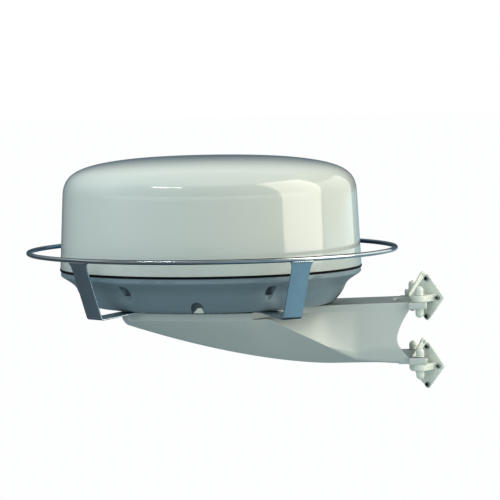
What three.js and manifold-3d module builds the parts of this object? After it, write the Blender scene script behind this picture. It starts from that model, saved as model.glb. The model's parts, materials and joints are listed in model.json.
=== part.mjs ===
// Radar dome antenna on a mast bracket: a closed radome with its scanner inside, a guard ring
// with four strap legs, and a hollow bracket that hangs on four swivelling mast feet.
// Millimetres, +Z up, +X towards the mast. Heights below are measured from the radome's seam,
// on the radome's axis; the outer group moves them to the origin described in the record.
import * as THREE from 'three';
import { mergeVertices } from 'three/addons/utils/BufferGeometryUtils.js';
import Module from 'manifold-3d';

const wasm = await Module();
wasm.setup();

// ---- driving dimensions ----------------------------------------------------------------
const gap = 0.3; // between pieces that rest on each other
const facets = 36; // round the radome
const origin = { x: 47.03, z: 255.41 }; // from the radome's axis and seam to the row's origin

const dome = { rim: 310, shoulder: 303, shoulderZ: 147, crown: 192, crownZ: 221, top: 229.7 };
const coverWall = 5;
const seam = { inner: 294, outer: 310.8, half: 2 };

const tray = { rim: 309, floorZ: -75, wall: 4, lipZ: -13 };
const domeHeading = -7; // degrees, the radome's own front against the bracket's
const pocket = { radius: 10, deep: 281, shallow: 288, roof: -17.5, screw: 285 };
const pocketPlaces = [-30.5, 30.5, 149.5, 210.5];
const cave = { radius: 8.5, deep: 266, floor: -40 };
const notch = { radius: 12.5, at: 256, roof: -51, angles: [0, 83, 180, 277] };

const guard = { ring: 377.5, tube: 4.75, x: 3, z: 35.5, heading: -9.2 };
const legPlaces = [-35.8, 35.8, 144.2, 215.8];
const strap = { width: 42, thick: 4, foot: 336, inner: 124, bolt: 148, leaves: 246, drop: 6.5 };

const deck = { top: -79, lip: 14, nose: -184.5, noseStart: -165, widest: 40, half: 207 };
const flare = { start: 75, end: 235, corner: 205, arm: 81 };
const arm = { end: 404, rise: 4.5, riseFrom: 150, skin: 4 };
const chine = { bend: 110, end: 290, half: 88, z: -190, tailHalf: 85, tailZ: -201.6 };
const keel = { noseZ: -114, fall: 90.5, levelX: 250, power: 1.64, round: 12, lift: 9 };

const pivot = { x: 422.6, y: 76.8, bolt: 4, cap: 8.5, capHeight: 19 };
const lug = { low: 60.3, high: 93, end: 437, root: 398, tongue: 380, thick: 13.2 };
const foot = { reach: 38, plate: 4, half: 38.5, tall: 50.5, corner: 7, ear: 16.4, thick: 13 };
const footScrews = [[0, 39], [0, -39], [25, 0], [-25, 0]];
const mast = { x: 470, clear: 94 };
const levels = {
  upper: { lugTop: -74.5, earTop: -61.2 },
  lower: { lugTop: -188, earTop: -201.5 },
};

const bearing = { inner: 12, outer: 25.7, top: 0, height: 14.4 };
const gear = { teeth: 60, pinion: 12, module: 2, z: 5.5, height: 9 };
const array = { half: 262, low: 44, high: 122 };
const gland = { x: 140, radius: 10 };

// ---- finishes --------------------------------------------------------------------------
function finish(color, roughness, metalness = 0) {
  return new THREE.MeshStandardMaterial({ color, roughness, metalness });
}

const finishes = {
  gelcoat: finish('#d6dbd2', 0.2),
  base: finish('#6b7a86', 0.45),
  seal: finish('#101214', 0.7),
  stainless: finish('#b9bcc0', 0.15, 1),
  bracket: finish('#c9cfc9', 0.4),
  cap: finish('#dfe1d8', 0.35),
  socket: finish('#3a3d40', 0.35, 1),
  casting: finish('#9a9fa3', 0.5, 1),
  motor: finish('#2b2e31', 0.45),
  board: finish('#1f5a3a', 0.5),
  gear: finish('#e5ddc8', 0.5),
  radiator: finish('#d9d6c6', 0.5),
  cable: finish('#17181a', 0.6),
};

// ---- solids ----------------------------------------------------------------------------
// A closed geometry as a manifold solid: merged corners, and no triangle without area.
function solid(geometry) {
  const bare = geometry.clone();
  bare.deleteAttribute('normal');
  bare.deleteAttribute('uv');
  const merged = mergeVertices(bare, 1e-4);
  const corners = [];
  for (let i = 0; i < merged.index.count; i += 3) {
    const [a, b, c] = [0, 1, 2].map((step) => merged.index.getX(i + step));
    if (a !== b && b !== c && c !== a) corners.push(a, b, c);
  }
  const vertProperties = Float32Array.from(merged.attributes.position.array);
  const triVerts = Uint32Array.from(corners);
  return new wasm.Manifold(new wasm.Mesh({ numProp: 3, vertProperties, triVerts }));
}

// A solid back to a geometry with flat faces.
function surface(shape) {
  const { vertProperties, triVerts, numProp } = shape.getMesh();
  const position = [];
  for (const corner of triVerts) {
    for (let k = 0; k < 3; k += 1) position.push(vertProperties[corner * numProp + k]);
  }
  const geometry = new THREE.BufferGeometry();
  geometry.setAttribute('position', new THREE.Float32BufferAttribute(position, 3));
  geometry.computeVertexNormals();
  return geometry;
}

const assembly = new THREE.Group();
assembly.position.set(-origin.x, 0, origin.z);

function add(name, shape, material) {
  const mesh = new THREE.Mesh(surface(shape), material);
  mesh.name = name;
  assembly.add(mesh);
  return mesh;
}

// Turned about the Z axis from [radius, height] corners, anticlockwise with height upwards.
function turned(profile, segments = 24) {
  const points = profile.map(([r, z]) => new THREE.Vector2(r, z));
  const onAxis = points[0].x === 0 && points.at(-1).x === 0;
  if (!onAxis) points.push(points[0].clone());
  return new THREE.LatheGeometry(points, segments).rotateX(Math.PI / 2);
}

function rod(radius, low, high, segments = 16) {
  const height = high - low;
  const geometry = new THREE.CylinderGeometry(radius, radius, height, segments);
  return geometry.rotateX(Math.PI / 2).translate(0, 0, low + height / 2);
}

function block([x0, y0, z0], [x1, y1, z1]) {
  const geometry = new THREE.BoxGeometry(x1 - x0, y1 - y0, z1 - z0);
  return geometry.translate((x0 + x1) / 2, (y0 + y1) / 2, (z0 + z1) / 2);
}

// An outline in X and Y, raised from low to high.
function prism(outline, low, high, curveSegments = 6) {
  const drawn = outline instanceof THREE.Shape;
  const shape = drawn ? outline : new THREE.Shape(outline.map(([x, y]) => new THREE.Vector2(x, y)));
  const settings = { depth: high - low, bevelEnabled: false, curveSegments };
  return new THREE.ExtrudeGeometry(shape, settings).translate(0, 0, low);
}

// An outline in X and Z, given thickness along Y from -half to half.
function upright(outline, half) {
  return prism(outline, -half, half).rotateX(Math.PI / 2);
}

// Angles run from the front (-Y) towards +X.
function around(degrees, radius) {
  const a = THREE.MathUtils.degToRad(degrees);
  return [radius * Math.sin(a), -radius * Math.cos(a)];
}

// Geometry drawn outwards along -Y, turned to an angle round the radome's axis.
function turnTo(geometry, degrees) {
  return geometry.rotateZ(radians(degrees));
}

function radians(degrees) {
  return THREE.MathUtils.degToRad(degrees);
}

const pocketAngles = pocketPlaces.map((angle) => angle + domeHeading);
const legAngles = legPlaces.map((angle) => angle + guard.heading);
const boltPlaces = legAngles.map((angle) => {
  const [x, y] = around(angle, strap.bolt);
  return [x + guard.x, y];
});

function curvePoints(curve, count) {
  return curve.getPoints(count).map((p) => [p.x, p.y]);
}

function bezier(...corners) {
  const points = corners.map(([r, z]) => new THREE.Vector2(r, z));
  const Curve = points.length === 4 ? THREE.CubicBezierCurve : THREE.QuadraticBezierCurve;
  return new Curve(...points);
}

// ---- radome cover ----------------------------------------------------------------------
// The drafted side, the full shoulder and the crowned top, from the rim up to the axis.
function coverSide(inset, low) {
  const side = dome.shoulder - inset;
  const shoulder = bezier(
    [side, dome.shoulderZ],
    [side - 1, dome.shoulderZ + 43 - inset],
    [side - 20, dome.crownZ - 12 - inset],
    [dome.crown, dome.crownZ - inset],
  );
  const crown = bezier([dome.crown, dome.crownZ - inset], [126, dome.top - inset], [0, dome.top - inset]);
  const rise = [[dome.rim - inset, low], [side + 3.5, dome.shoulderZ / 2]];
  const [shoulderSteps, crownSteps] = inset ? [3, 1] : [6, 3];
  return [...rise, ...curvePoints(shoulder, shoulderSteps), ...curvePoints(crown, crownSteps).slice(1)];
}

function radomeCover() {
  const low = seam.half + gap;
  const outside = solid(turned([[0, low], ...coverSide(0, low)], facets));
  const hollow = solid(turned([[0, low - 1], ...coverSide(coverWall, low - 1)], facets));
  let shell = outside.subtract(hollow);
  for (const angle of pocketAngles) {
    const boss = solid(turnTo(rod(9, low, 28, 12).translate(0, -pocket.screw, 0), angle));
    const rib = solid(turnTo(block([-5, -dome.rim + 6, low], [5, -pocket.screw, 28]), angle));
    const hole = solid(turnTo(rod(3.4, low - 1, 24, 8).translate(0, -pocket.screw, 0), angle));
    shell = shell.add(boss).add(rib).subtract(hole);
  }
  return shell;
}

// ---- base tray -------------------------------------------------------------------------
// The lip, the concave flare under it, the steep wall and the rounded edge of the flat floor.
function traySide(inset, floorZ) {
  const flareCurve = bezier([tray.rim - 1, tray.lipZ], [295, -22], [280, -29], [276, -41]);
  const wall = bezier([276, -41], [273, -49], [267, -58], [259, -67]);
  const heel = bezier([259, -67], [252, tray.floorZ], [238, tray.floorZ]);
  const steps = inset ? [2, 1, 1] : [4, 2, 3];
  const stretches = [flareCurve, wall, heel].map((curve, k) => curvePoints(curve, steps[k]));
  const down = stretches.flatMap((points, k) => points.slice(k ? 1 : 0));
  const up = down.reverse().map(([r, z]) => [r - inset, Math.max(z, floorZ)]);
  return up;
}

function baseTray() {
  const top = -seam.half - gap;
  const lip = [[tray.rim, tray.lipZ + 2], [tray.rim, top], [0, top]];
  const outline = [[0, tray.floorZ], ...traySide(0, tray.floorZ), ...lip];
  const outside = solid(turned(outline, facets));
  const floor = tray.floorZ + tray.wall;
  const inner = traySide(tray.wall + 1, floor);
  const hollow = solid(turned([[0, floor], ...inner, [292, top + 1], [0, top + 1]], facets));
  let shell = outside.subtract(hollow);
  for (const angle of pocketAngles) {
    const column = solid(turnTo(prism(slotOutline(15, cave.deep + 4), -66, top, 4), angle));
    shell = shell.add(column.intersect(outside));
  }
  for (const angle of notch.angles) {
    const web = block([-17, -275, floor - 1], [17, -231, notch.roof + 8]);
    shell = shell.add(solid(turnTo(web, angle + domeHeading)).intersect(outside));
  }
  for (const angle of pocketAngles) {
    const recess = prism(slotOutline(pocket.radius, pocket.deep), -100, pocket.roof);
    const deeper = prism(slotOutline(cave.radius, cave.deep), cave.floor, pocket.roof);
    const hole = rod(3.4, -50, top + 1, 8).translate(0, -pocket.screw, 0);
    for (const cut of [recess, deeper, hole]) shell = shell.subtract(solid(turnTo(cut, angle)));
  }
  for (const angle of notch.angles) {
    const arch = upright(archOutline(notch.radius, tray.floorZ - 1, notch.roof), 20);
    const placed = turnTo(arch.translate(0, -notch.at, 0), angle + domeHeading);
    shell = shell.subtract(solid(placed));
  }
  return trayBosses(shell);
}

// A slot with round ends along a pocket's depth, in X and Y.
function slotOutline(radius, deep) {
  const shape = new THREE.Shape();
  shape.absarc(0, -deep, radius, 0, Math.PI, false);
  shape.absarc(0, -pocket.shallow, radius, Math.PI, 2 * Math.PI, false);
  return shape;
}

// A round-topped doorway in X and Z.
function archOutline(radius, low, high) {
  const shape = new THREE.Shape();
  shape.moveTo(-radius, low);
  shape.lineTo(radius, low);
  shape.lineTo(radius, high - radius);
  shape.absarc(0, high - radius, radius, 0, Math.PI, false);
  return shape;
}

// Bosses on the floor take the four bolts from below, and a port takes the cable gland.
function trayBosses(shell) {
  let result = shell;
  for (const [x, y] of boltPlaces) {
    result = result.add(solid(rod(12, tray.floorZ + 2, -58, 12).translate(x, y, 0)));
    result = result.subtract(solid(rod(5.3, tray.floorZ - 1, -61, 10).translate(x, y, 0)));
  }
  const port = rod(gland.radius + gap, tray.floorZ - 1, -60, 20).translate(gland.x, 0, 0);
  return result.subtract(solid(port));
}

function seamGasket() {
  const { inner, outer, half } = seam;
  const edge = [[outer - 1, -half], [outer, 0], [outer - 1, half]];
  return solid(turned([[inner, -half], ...edge, [inner, half]], facets));
}

function coverScrew() {
  const head = solid(rod(5, pocket.roof - 4 - gap, pocket.roof - gap, 6));
  return head.add(solid(rod(3, pocket.roof - 3, 20, 12)));
}

// ---- guard -----------------------------------------------------------------------------
function guardRing() {
  const ring = new THREE.TorusGeometry(guard.ring, guard.tube, 6, 48);
  return solid(ring.translate(0, 0, guard.z));
}

// A strap: a foot on the deck that dips on its way out, a bend, and a leg that leans out to the ring.
function guardLeg() {
  const low = deck.top + gap;
  const high = low + strap.thick - 2 * gap;
  const top = guard.z - guard.tube - gap;
  const lean = strap.thick * 1.08;
  const tip = guard.ring + 2;
  const bend = strap.foot - lean;
  const [footLow, footHigh] = [low - strap.drop, high - strap.drop];
  const outside = [[strap.leaves, low], [strap.foot - 5, footLow], [strap.foot, footLow + 4], [tip, top]];
  const inside = [[tip - lean, top], [bend, footHigh + 2], [bend - 3, footHigh], [strap.leaves, high]];
  const outline = [[strap.inner, low], ...outside, ...inside, [strap.inner, high]];
  const strip = upright(outline, strap.width / 2).rotateZ(-Math.PI / 2);
  const hole = rod(5.3, low - 1, high + 1).translate(0, -strap.bolt, 0);
  return solid(strip).subtract(solid(hole));
}

function radomeBolt() {
  const under = deck.top - arm.skin - gap;
  const head = solid(rod(9, under - 6, under, 6));
  return head.add(solid(rod(5, under - 3, -62, 12)));
}

// ---- bracket ---------------------------------------------------------------------------
function deckHalf(x) {
  const bow = (deck.half - 150) / (deck.noseStart - deck.widest) ** 2;
  if (x < deck.noseStart) {
    const into = (deck.noseStart - x) / 20;
    return 150 * Math.sqrt(1 - into * into);
  }
  if (x <= flare.start) return deck.half - bow * (x - deck.widest) ** 2;
  const along = Math.min(1, (x - flare.start) / (flare.end - flare.start));
  return flare.arm + (flare.corner - flare.arm) * (1 - along) ** 2.2;
}

function deckTop(x) {
  return deck.top + arm.rise * Math.max(0, (x - arm.riseFrom) / (arm.end - arm.riseFrom));
}

// The keel turns under at the nose, falls, and levels out under the arm.
function keelZ(x) {
  const along = Math.min(1, (x - deck.nose) / (keel.levelX - deck.nose));
  const blunt = Math.max(0, 1 - (x - deck.nose) / keel.round);
  return keel.noseZ - keel.fall * (1 - (1 - along) ** keel.power) + keel.lift * blunt ** 2;
}

// The chine leaves the deck's corner, bends and runs straight down to the arm's lower edge.
function chineAt(x) {
  const lip = deckTop(x) - deck.lip;
  if (x <= flare.start) return [deckHalf(x), lip - 0.5];
  if (x <= chine.end) {
    const t = (x - flare.start) / (chine.end - flare.start);
    const down = Math.max(0, (x - chine.bend) / (chine.end - chine.bend));
    return [flare.corner + (chine.half - flare.corner) * t, lip - 0.5 + (chine.z - lip + 0.5) * down];
  }
  const t = (x - chine.end) / (arm.end - chine.end);
  return [chine.half + (chine.tailHalf - chine.half) * t, chine.z + (chine.tailZ - chine.z) * t];
}

// One cross-section of the hull: deck edge, lip, chine and keel, mirrored in Y. level is 1 where
// the side between lip and chine lies flat and 0 where it stands; the skin is set in to suit.
function hullSection(x, skin) {
  const top = deckTop(x) - skin;
  const half = deckHalf(x) - skin * 1.4;
  const [edge, edgeZ] = chineAt(x);
  const lip = deckTop(x) - deck.lip;
  const out = edge - deckHalf(x);
  const level = out / Math.hypot(out, lip - edgeZ);
  const inner = [edge - skin * (1.4 + 3.6 * level), Math.min(lip, edgeZ + skin * 0.5) - skin * level];
  const bottom = keelZ(x) + skin * 1.2;
  const side = [[half, top], [half, lip - skin * level], inner];
  const mirrored = side.map(([y, z]) => [-y, z]).reverse();
  return [...side, [0, bottom], ...mirrored].map(([y, z]) => [x, y, z]);
}

// Cross-sections with the same number of corners, joined in turn and capped at both ends.
function loft(sections) {
  const count = sections[0].length;
  const index = [];
  for (let s = 0; s + 1 < sections.length; s += 1) {
    for (let k = 0; k < count; k += 1) {
      const a = s * count + k;
      const b = s * count + ((k + 1) % count);
      index.push(a, a + count, b, b, a + count, b + count);
    }
  }
  const last = (sections.length - 1) * count;
  for (let k = 1; k + 1 < count; k += 1) {
    index.push(0, k, k + 1);
    index.push(last, last + k + 1, last + k);
  }
  const geometry = new THREE.BufferGeometry();
  geometry.setAttribute('position', new THREE.Float32BufferAttribute(sections.flat(2), 3));
  geometry.setIndex(index);
  return geometry;
}

function hull(skin, from, to) {
  const under = [-180, -174, deck.noseStart, -140, -90, -30, deck.widest, flare.start];
  const alongArm = [92, chine.bend, 135, 165, 200, flare.end, chine.end, 345];
  const inside = [...under, ...alongArm].filter((x) => x > from && x < to);
  return loft([from, ...inside, to].map((x) => hullSection(x, skin)));
}

// The scooped end of the side plates, above one another between the upper and lower lugs.
function endScoop() {
  const upper = [[404, -86], [392, -105], [382, -124], [375.5, -146]];
  const lower = [[379, -163], [391, -179], [404, -193]];
  const curve = new THREE.SplineCurve([...upper, ...lower].map(([x, z]) => new THREE.Vector2(x, z)));
  return upright([...curvePoints(curve, 14), [430, -193], [430, -86]].reverse(), 120);
}

// The deck and floor plates stop short of the mast between the lugs.
function mastScoop() {
  const shape = new THREE.Shape();
  const reach = Math.asin(lug.low / mast.clear);
  shape.moveTo(mast.x, lug.low);
  shape.lineTo(mast.x - mast.clear * Math.cos(reach), lug.low);
  shape.absarc(mast.x, 0, mast.clear, Math.PI - reach, Math.PI + reach, false);
  shape.lineTo(mast.x, -lug.low);
  return prism(shape, -260, 0, 16);
}

// A lug outside the arm's end, with a tongue that runs back between the side plates.
function lugBlock(side, top) {
  const inner = Math.min(side * lug.low, side * lug.high);
  const outer = Math.max(side * lug.low, side * lug.high);
  const ear = block([lug.root, inner, top - lug.thick], [lug.end, outer, top]);
  const [near, far] = side < 0 ? [-flare.arm + 2, -lug.low] : [lug.low, flare.arm - 2];
  const tongue = block([lug.tongue, near, top - lug.thick], [lug.root + 2, far, top - 0.5]);
  return solid(ear).add(solid(tongue));
}

function bracketBody() {
  const hollow = solid(hull(arm.skin, deck.nose + 11, arm.end + 10));
  let body = solid(hull(0, deck.nose, arm.end)).subtract(hollow);
  body = body.subtract(solid(endScoop())).subtract(solid(mastScoop()));
  for (const { lugTop } of Object.values(levels)) {
    for (const side of [-1, 1]) {
      const bolt = rod(pivot.bolt + gap, lugTop - 20, lugTop + 5, 12);
      const hole = solid(bolt.translate(pivot.x, side * pivot.y, 0));
      body = body.add(lugBlock(side, lugTop)).subtract(hole);
    }
  }
  for (const [x, y] of boltPlaces) {
    body = body.subtract(solid(rod(5.3, -90, -70).translate(x, y, 0)));
  }
  return body.subtract(solid(rod(17, -95, -70, 20).translate(gland.x, 0, 0)));
}

// ---- mast feet -------------------------------------------------------------------------
// Diamond with rounded corners, in X and Y.
function diamond() {
  const tips = [[foot.half, 0], [0, foot.tall], [-foot.half, 0], [0, -foot.tall]];
  const corners = tips.map((tip) => new THREE.Vector2(...tip));
  const shape = new THREE.Shape();
  corners.forEach((corner, k) => {
    const before = corners[(k + 3) % 4].clone().sub(corner).setLength(foot.corner).add(corner);
    const after = corners[(k + 1) % 4].clone().sub(corner).setLength(foot.corner).add(corner);
    if (k === 0) shape.moveTo(before.x, before.y);
    else shape.lineTo(before.x, before.y);
    shape.quadraticCurveTo(corner.x, corner.y, after.x, after.y);
  });
  shape.closePath();
  return shape;
}

// Drawn with the pivot on the Z axis, the ear's middle at z = 0 and the plate out along +X.
function mastFoot() {
  const face = foot.reach - foot.plate;
  const plate = prism(diamond(), face, foot.reach, 3).rotateX(Math.PI / 2).rotateZ(Math.PI / 2);
  const ear = new THREE.Shape();
  ear.absarc(0, 0, foot.ear, Math.PI / 2, Math.PI * 1.5, false);
  ear.lineTo(face + 1, -foot.ear);
  ear.lineTo(face + 1, foot.ear);
  let shape = solid(plate).add(solid(prism(ear, -foot.thick / 2, foot.thick / 2, 8)));
  shape = shape.subtract(solid(rod(pivot.bolt + gap, -20, 20, 20)));
  for (const [y, z] of footScrews) {
    const hole = rod(3.6, face - 5, foot.reach + 5, 8).rotateY(Math.PI / 2);
    shape = shape.subtract(solid(hole.translate(0, y, z)));
  }
  return shape;
}

// A socket-head screw on its plate, along +X, that stops just short of the plate's back.
function footScrew([y, z]) {
  const face = foot.reach - foot.plate - gap;
  const head = solid(rod(5, face - 4, face, 10).rotateY(Math.PI / 2));
  const socket = solid(rod(2.6, face - 6, face - 1.5, 6).rotateY(Math.PI / 2));
  const shank = solid(rod(3, face - 1, foot.reach - gap, 8).rotateY(Math.PI / 2));
  return head.subtract(socket).add(shank);
}

// A smooth round-ended cap, from z = 0 up.
function domeCap() {
  const { cap, capHeight } = pivot;
  const round = new THREE.EllipseCurve(0, capHeight - cap * 1.1, cap, cap * 1.1, 0, Math.PI / 2);
  return turned([[0, 0], [cap, 0], ...curvePoints(round, 3)], 10);
}

function pivotBolt(top, bottom) {
  const cap = solid(domeCap().translate(0, 0, top + gap));
  return cap.add(solid(rod(pivot.bolt, bottom - 8, top + 2)));
}

function pivotCapNut(bottom) {
  const cap = solid(domeCap().rotateX(Math.PI).translate(0, 0, bottom - gap));
  return cap.subtract(solid(rod(pivot.bolt + gap, bottom - 9, bottom + 1)));
}

// ---- scanner ---------------------------------------------------------------------------
function scannerChassis() {
  const low = tray.floorZ + tray.wall + gap;
  const { outer, top, height } = bearing;
  const seat = top - height - 2 * gap;
  const profile = [
    [19, low], [110, low], [110, low + 6], [48, low + 6], [38, -40], [38, top],
    [outer + gap, top], [outer + gap, seat], [19, seat],
  ];
  return solid(turned(profile, 24));
}

function race(inner, outer) {
  const { top, height } = bearing;
  const [low, high] = [top - height - gap, top - gap];
  return solid(turned([[inner, low], [outer, low], [outer, high], [inner, high]], 18));
}

// Gear teeth with straight flanks between the root and tip circles.
function toothed(teeth, low, high) {
  const pitch = (gear.module * teeth) / 2;
  const step = (2 * Math.PI) / teeth;
  const [root, tip] = [pitch - 1.2 * gear.module, pitch + 0.85 * gear.module];
  const marks = [[root, -0.36], [tip, -0.12], [tip, 0.12], [root, 0.36]];
  const outline = [];
  for (let k = 0; k < teeth; k += 1) {
    for (const [r, part] of marks) {
      const a = (k + part) * step;
      outline.push([r * Math.cos(a), r * Math.sin(a)]);
    }
  }
  return prism(outline, low, high);
}

function mainGear() {
  const disc = solid(toothed(gear.teeth, gear.z, gear.z + gear.height));
  const bore = solid(rod(bearing.inner + gap, gear.z - 1, gear.z + gear.height + 1, 24));
  return disc.subtract(bore);
}

// Half a tooth round, so that a gap faces the main gear's tooth.
function motorPinion() {
  const teeth = toothed(gear.pinion, gear.z - 0.5, gear.z + gear.height + 0.5);
  const halfTooth = Math.PI / gear.pinion;
  return solid(teeth.rotateZ(halfTooth - Math.PI / 2)).add(solid(rod(3, -12, gear.z + 1, 12)));
}

function driveMotor() {
  const low = tray.floorZ + tray.wall + 6 + 2 * gap;
  const can = [[0, low], [22, low], [22, -16], [18, -13], [18, -6], [10, -6], [10, -2], [0, -2]];
  return solid(turned(can, 18)).subtract(solid(rod(3.4, -14, 0, 12)));
}

function antennaSpindle() {
  const profile = [[5.5, -45], [12, -45], [12, 33], [32, 33], [32, 38], [5.5, 38]];
  return solid(turned(profile, 18));
}

function rotaryJointStem() {
  const low = tray.floorZ + tray.wall + gap;
  return solid(turned([[0, low], [17, low], [17, low + 8], [4.6, low + 14], [4.6, 30], [0, 30]], 16));
}

// A box beam, open at both ends, with a foot on the spindle's flange.
function arrayBeam() {
  const { half, low, high } = array;
  const beam = solid(block([-half, -10, low], [half, 22, high]));
  const inside = solid(block([-half - 1, -7, low + 3], [half + 1, 19, high - 3]));
  return beam.subtract(inside).add(solid(rod(32, 38 + gap, low + 1, 24)));
}

// The radiator in front of the beam: a flared trough round a slotted guide.
function arrayRadiator() {
  const { half, low, high } = array;
  const back = -10 - gap;
  const mouth = [[back, low + 8], [-38, low], [-38, low + 4], [back - 6, low + 16]];
  const guide = [[back - 18, 70], [back - 18, 96]];
  const flip = ([y, z]) => [y, low + high - z];
  const outline = [...mouth, [back - 6, 70], ...guide, [back - 6, 96], ...mouth.map(flip).reverse()];
  const trough = prism(outline, -half, half).rotateX(Math.PI / 2).rotateZ(Math.PI / 2);
  return solid(trough);
}

function transceiverBox() {
  const low = tray.floorZ + tray.wall + gap;
  let box = solid(block([-220, -68, low], [-124, 68, low + 44]));
  for (let y = -60; y <= 60; y += 15) {
    box = box.add(solid(block([-216, y - 1.5, low + 43], [-128, y + 1.5, low + 56])));
  }
  return box;
}

function circuitBoard() {
  const low = tray.floorZ + tray.wall + gap;
  const [x0, x1, y0, y1] = [-42, 84, 128, 192];
  let board = solid(block([x0, y0, low + 8], [x1, y1, low + 9.6]));
  const chips = [[-20, 145, 12, 4], [15, 170, 9, 6], [50, 150, 14, 3], [62, 178, 7, 12]];
  for (const [x, y, half, tall] of chips) {
    const chip = block([x - half, y - half, low + 9], [x + half, y + half, low + 9.6 + tall]);
    board = board.add(solid(chip));
  }
  for (const x of [x0 + 6, x1 - 6]) {
    for (const y of [y0 + 6, y1 - 6]) {
      board = board.add(solid(rod(3, low, low + 9, 8).translate(x, y, 0)));
    }
  }
  return board;
}

function cableGland() {
  const r = gland.radius;
  const low = -104;
  const profile = [
    [0, low], [11, low], [13, low + 6], [15, low + 8], [15, tray.floorZ - gap],
    [r, tray.floorZ - gap], [r, -62], [0, -62],
  ];
  return solid(turned(profile, 12));
}

// The cable hangs from the gland inside the hollow bracket and runs out towards the mast.
function signalCable() {
  const way = [[140, -104.6], [142, -125], [165, -143], [215, -148], [290, -146], [372, -132]];
  const path = new THREE.CatmullRomCurve3(way.map(([x, z]) => new THREE.Vector3(x, 0, z)));
  const round = new THREE.Shape().absarc(0, 0, 5, 0, 2 * Math.PI, false);
  return solid(new THREE.ExtrudeGeometry(round, { steps: 14, curveSegments: 4, extrudePath: path }));
}

// ---- the whole -------------------------------------------------------------------------
const names = ['front_left', 'front_right', 'back_right', 'back_left'];

add('radome_cover', radomeCover(), finishes.gelcoat);
add('base_tray', baseTray(), finishes.base);
add('seam_gasket', seamGasket(), finishes.seal);
add('guard_ring', guardRing(), finishes.stainless).position.x = guard.x;
add('bracket_body', bracketBody(), finishes.bracket);

names.forEach((name, k) => {
  const leg = add(`guard_leg_${name}`, guardLeg(), finishes.stainless);
  leg.rotation.z = radians(legAngles[k]);
  leg.position.x = guard.x;
  const bolt = add(`radome_bolt_${name}`, radomeBolt(), finishes.stainless);
  bolt.position.set(...boltPlaces[k], 0);
  const screw = add(`cover_screw_${name}`, coverScrew(), finishes.stainless);
  screw.position.set(...around(pocketAngles[k], pocket.screw), 0);
});

for (const [level, { lugTop, earTop }] of Object.entries(levels)) {
  const middle = earTop - foot.thick / 2;
  const stackTop = Math.max(lugTop, earTop);
  const stackBottom = Math.min(lugTop - lug.thick, earTop - foot.thick);
  for (const [side, sign] of [['near', -1], ['far', 1]]) {
    const place = [pivot.x, sign * pivot.y, 0];
    const heading = Math.atan2(-sign * pivot.y, mast.x - pivot.x);
    const swivel = new THREE.Group();
    swivel.position.set(pivot.x, sign * pivot.y, middle);
    swivel.rotation.z = heading;
    assembly.add(swivel);
    swivel.add(add(`mast_foot_${level}_${side}`, mastFoot(), finishes.cap));
    footScrews.forEach((at, k) => {
      const screw = add(`foot_screw_${level}_${side}_${k + 1}`, footScrew(at), finishes.socket);
      screw.position.set(0, at[0], at[1]);
      swivel.add(screw);
    });
    const bolt = add(`pivot_bolt_${level}_${side}`, pivotBolt(stackTop, stackBottom), finishes.cap);
    const cap = add(`pivot_cap_${level}_${side}`, pivotCapNut(stackBottom), finishes.cap);
    for (const piece of [bolt, cap]) piece.position.set(...place);
  }
}

add('scanner_chassis', scannerChassis(), finishes.casting);
add('bearing_outer_race', race(19.5, bearing.outer), finishes.stainless);
add('bearing_inner_race', race(bearing.inner + gap, 17.3), finishes.stainless);
add('rotary_joint_stem', rotaryJointStem(), finishes.stainless);
add('antenna_spindle', antennaSpindle(), finishes.casting);
add('main_gear', mainGear(), finishes.gear);
add('array_beam', arrayBeam(), finishes.casting);
add('array_radiator', arrayRadiator(), finishes.radiator);
const motorY = (gear.module * (gear.teeth + gear.pinion)) / 2;
add('drive_motor', driveMotor(), finishes.motor).position.y = motorY;
add('motor_pinion', motorPinion(), finishes.gear).position.y = motorY;
add('transceiver_box', transceiverBox(), finishes.casting);
add('circuit_board', circuitBoard(), finishes.board);
add('cable_gland', cableGland(), finishes.cable).position.x = gland.x;
add('signal_cable', signalCable(), finishes.cable);

const part = new THREE.Group();
part.add(assembly);
part.updateMatrixWorld(true);

export default part;
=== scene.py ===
"""Looks of a radar dome, its guard ring and its mast bracket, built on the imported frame.

Shapes are drawn in millimetres about the radome's axis: z = 0 is the seam between cover and base,
+X points towards the mast and +Y away from the camera. extra() moves them into the row frame.
"""

import json
import math

import bmesh
import bpy
from mathutils import Matrix, Vector

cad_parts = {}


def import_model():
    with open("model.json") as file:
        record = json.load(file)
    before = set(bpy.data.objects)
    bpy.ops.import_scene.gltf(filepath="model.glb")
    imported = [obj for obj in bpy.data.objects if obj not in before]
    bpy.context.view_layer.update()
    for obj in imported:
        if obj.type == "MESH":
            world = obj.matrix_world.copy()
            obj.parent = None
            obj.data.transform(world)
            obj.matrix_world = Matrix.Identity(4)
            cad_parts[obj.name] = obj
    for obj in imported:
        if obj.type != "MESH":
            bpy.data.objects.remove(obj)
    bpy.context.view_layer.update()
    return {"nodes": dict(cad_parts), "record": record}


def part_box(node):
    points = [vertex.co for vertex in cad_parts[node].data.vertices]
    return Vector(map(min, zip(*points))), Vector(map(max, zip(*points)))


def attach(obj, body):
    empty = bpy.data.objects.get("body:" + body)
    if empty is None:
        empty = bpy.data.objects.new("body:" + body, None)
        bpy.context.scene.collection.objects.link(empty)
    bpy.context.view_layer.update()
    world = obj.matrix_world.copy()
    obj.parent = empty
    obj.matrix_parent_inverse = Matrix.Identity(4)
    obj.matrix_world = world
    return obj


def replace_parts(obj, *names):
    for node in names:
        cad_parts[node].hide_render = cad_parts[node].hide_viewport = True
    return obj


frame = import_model()
slot_of = {sub["node"]: sub["material_slot"] for sub in frame["record"]["subparts"]}
body_of = {
    node: body
    for body, members in frame["record"]["behaviour"]["bodies"].items()
    for node in members
}
seam_low, seam_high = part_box("seam_gasket")
AXIS = (seam_low + seam_high) / 2  # the radome's axis, at the seam

# ---- dimensions, mm ----------------------------------------------------------------------
GAP = 0.3
ROUND = 160  # steps round the radome
NAMES = ("front_left", "front_right", "back_right", "back_left")

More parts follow.
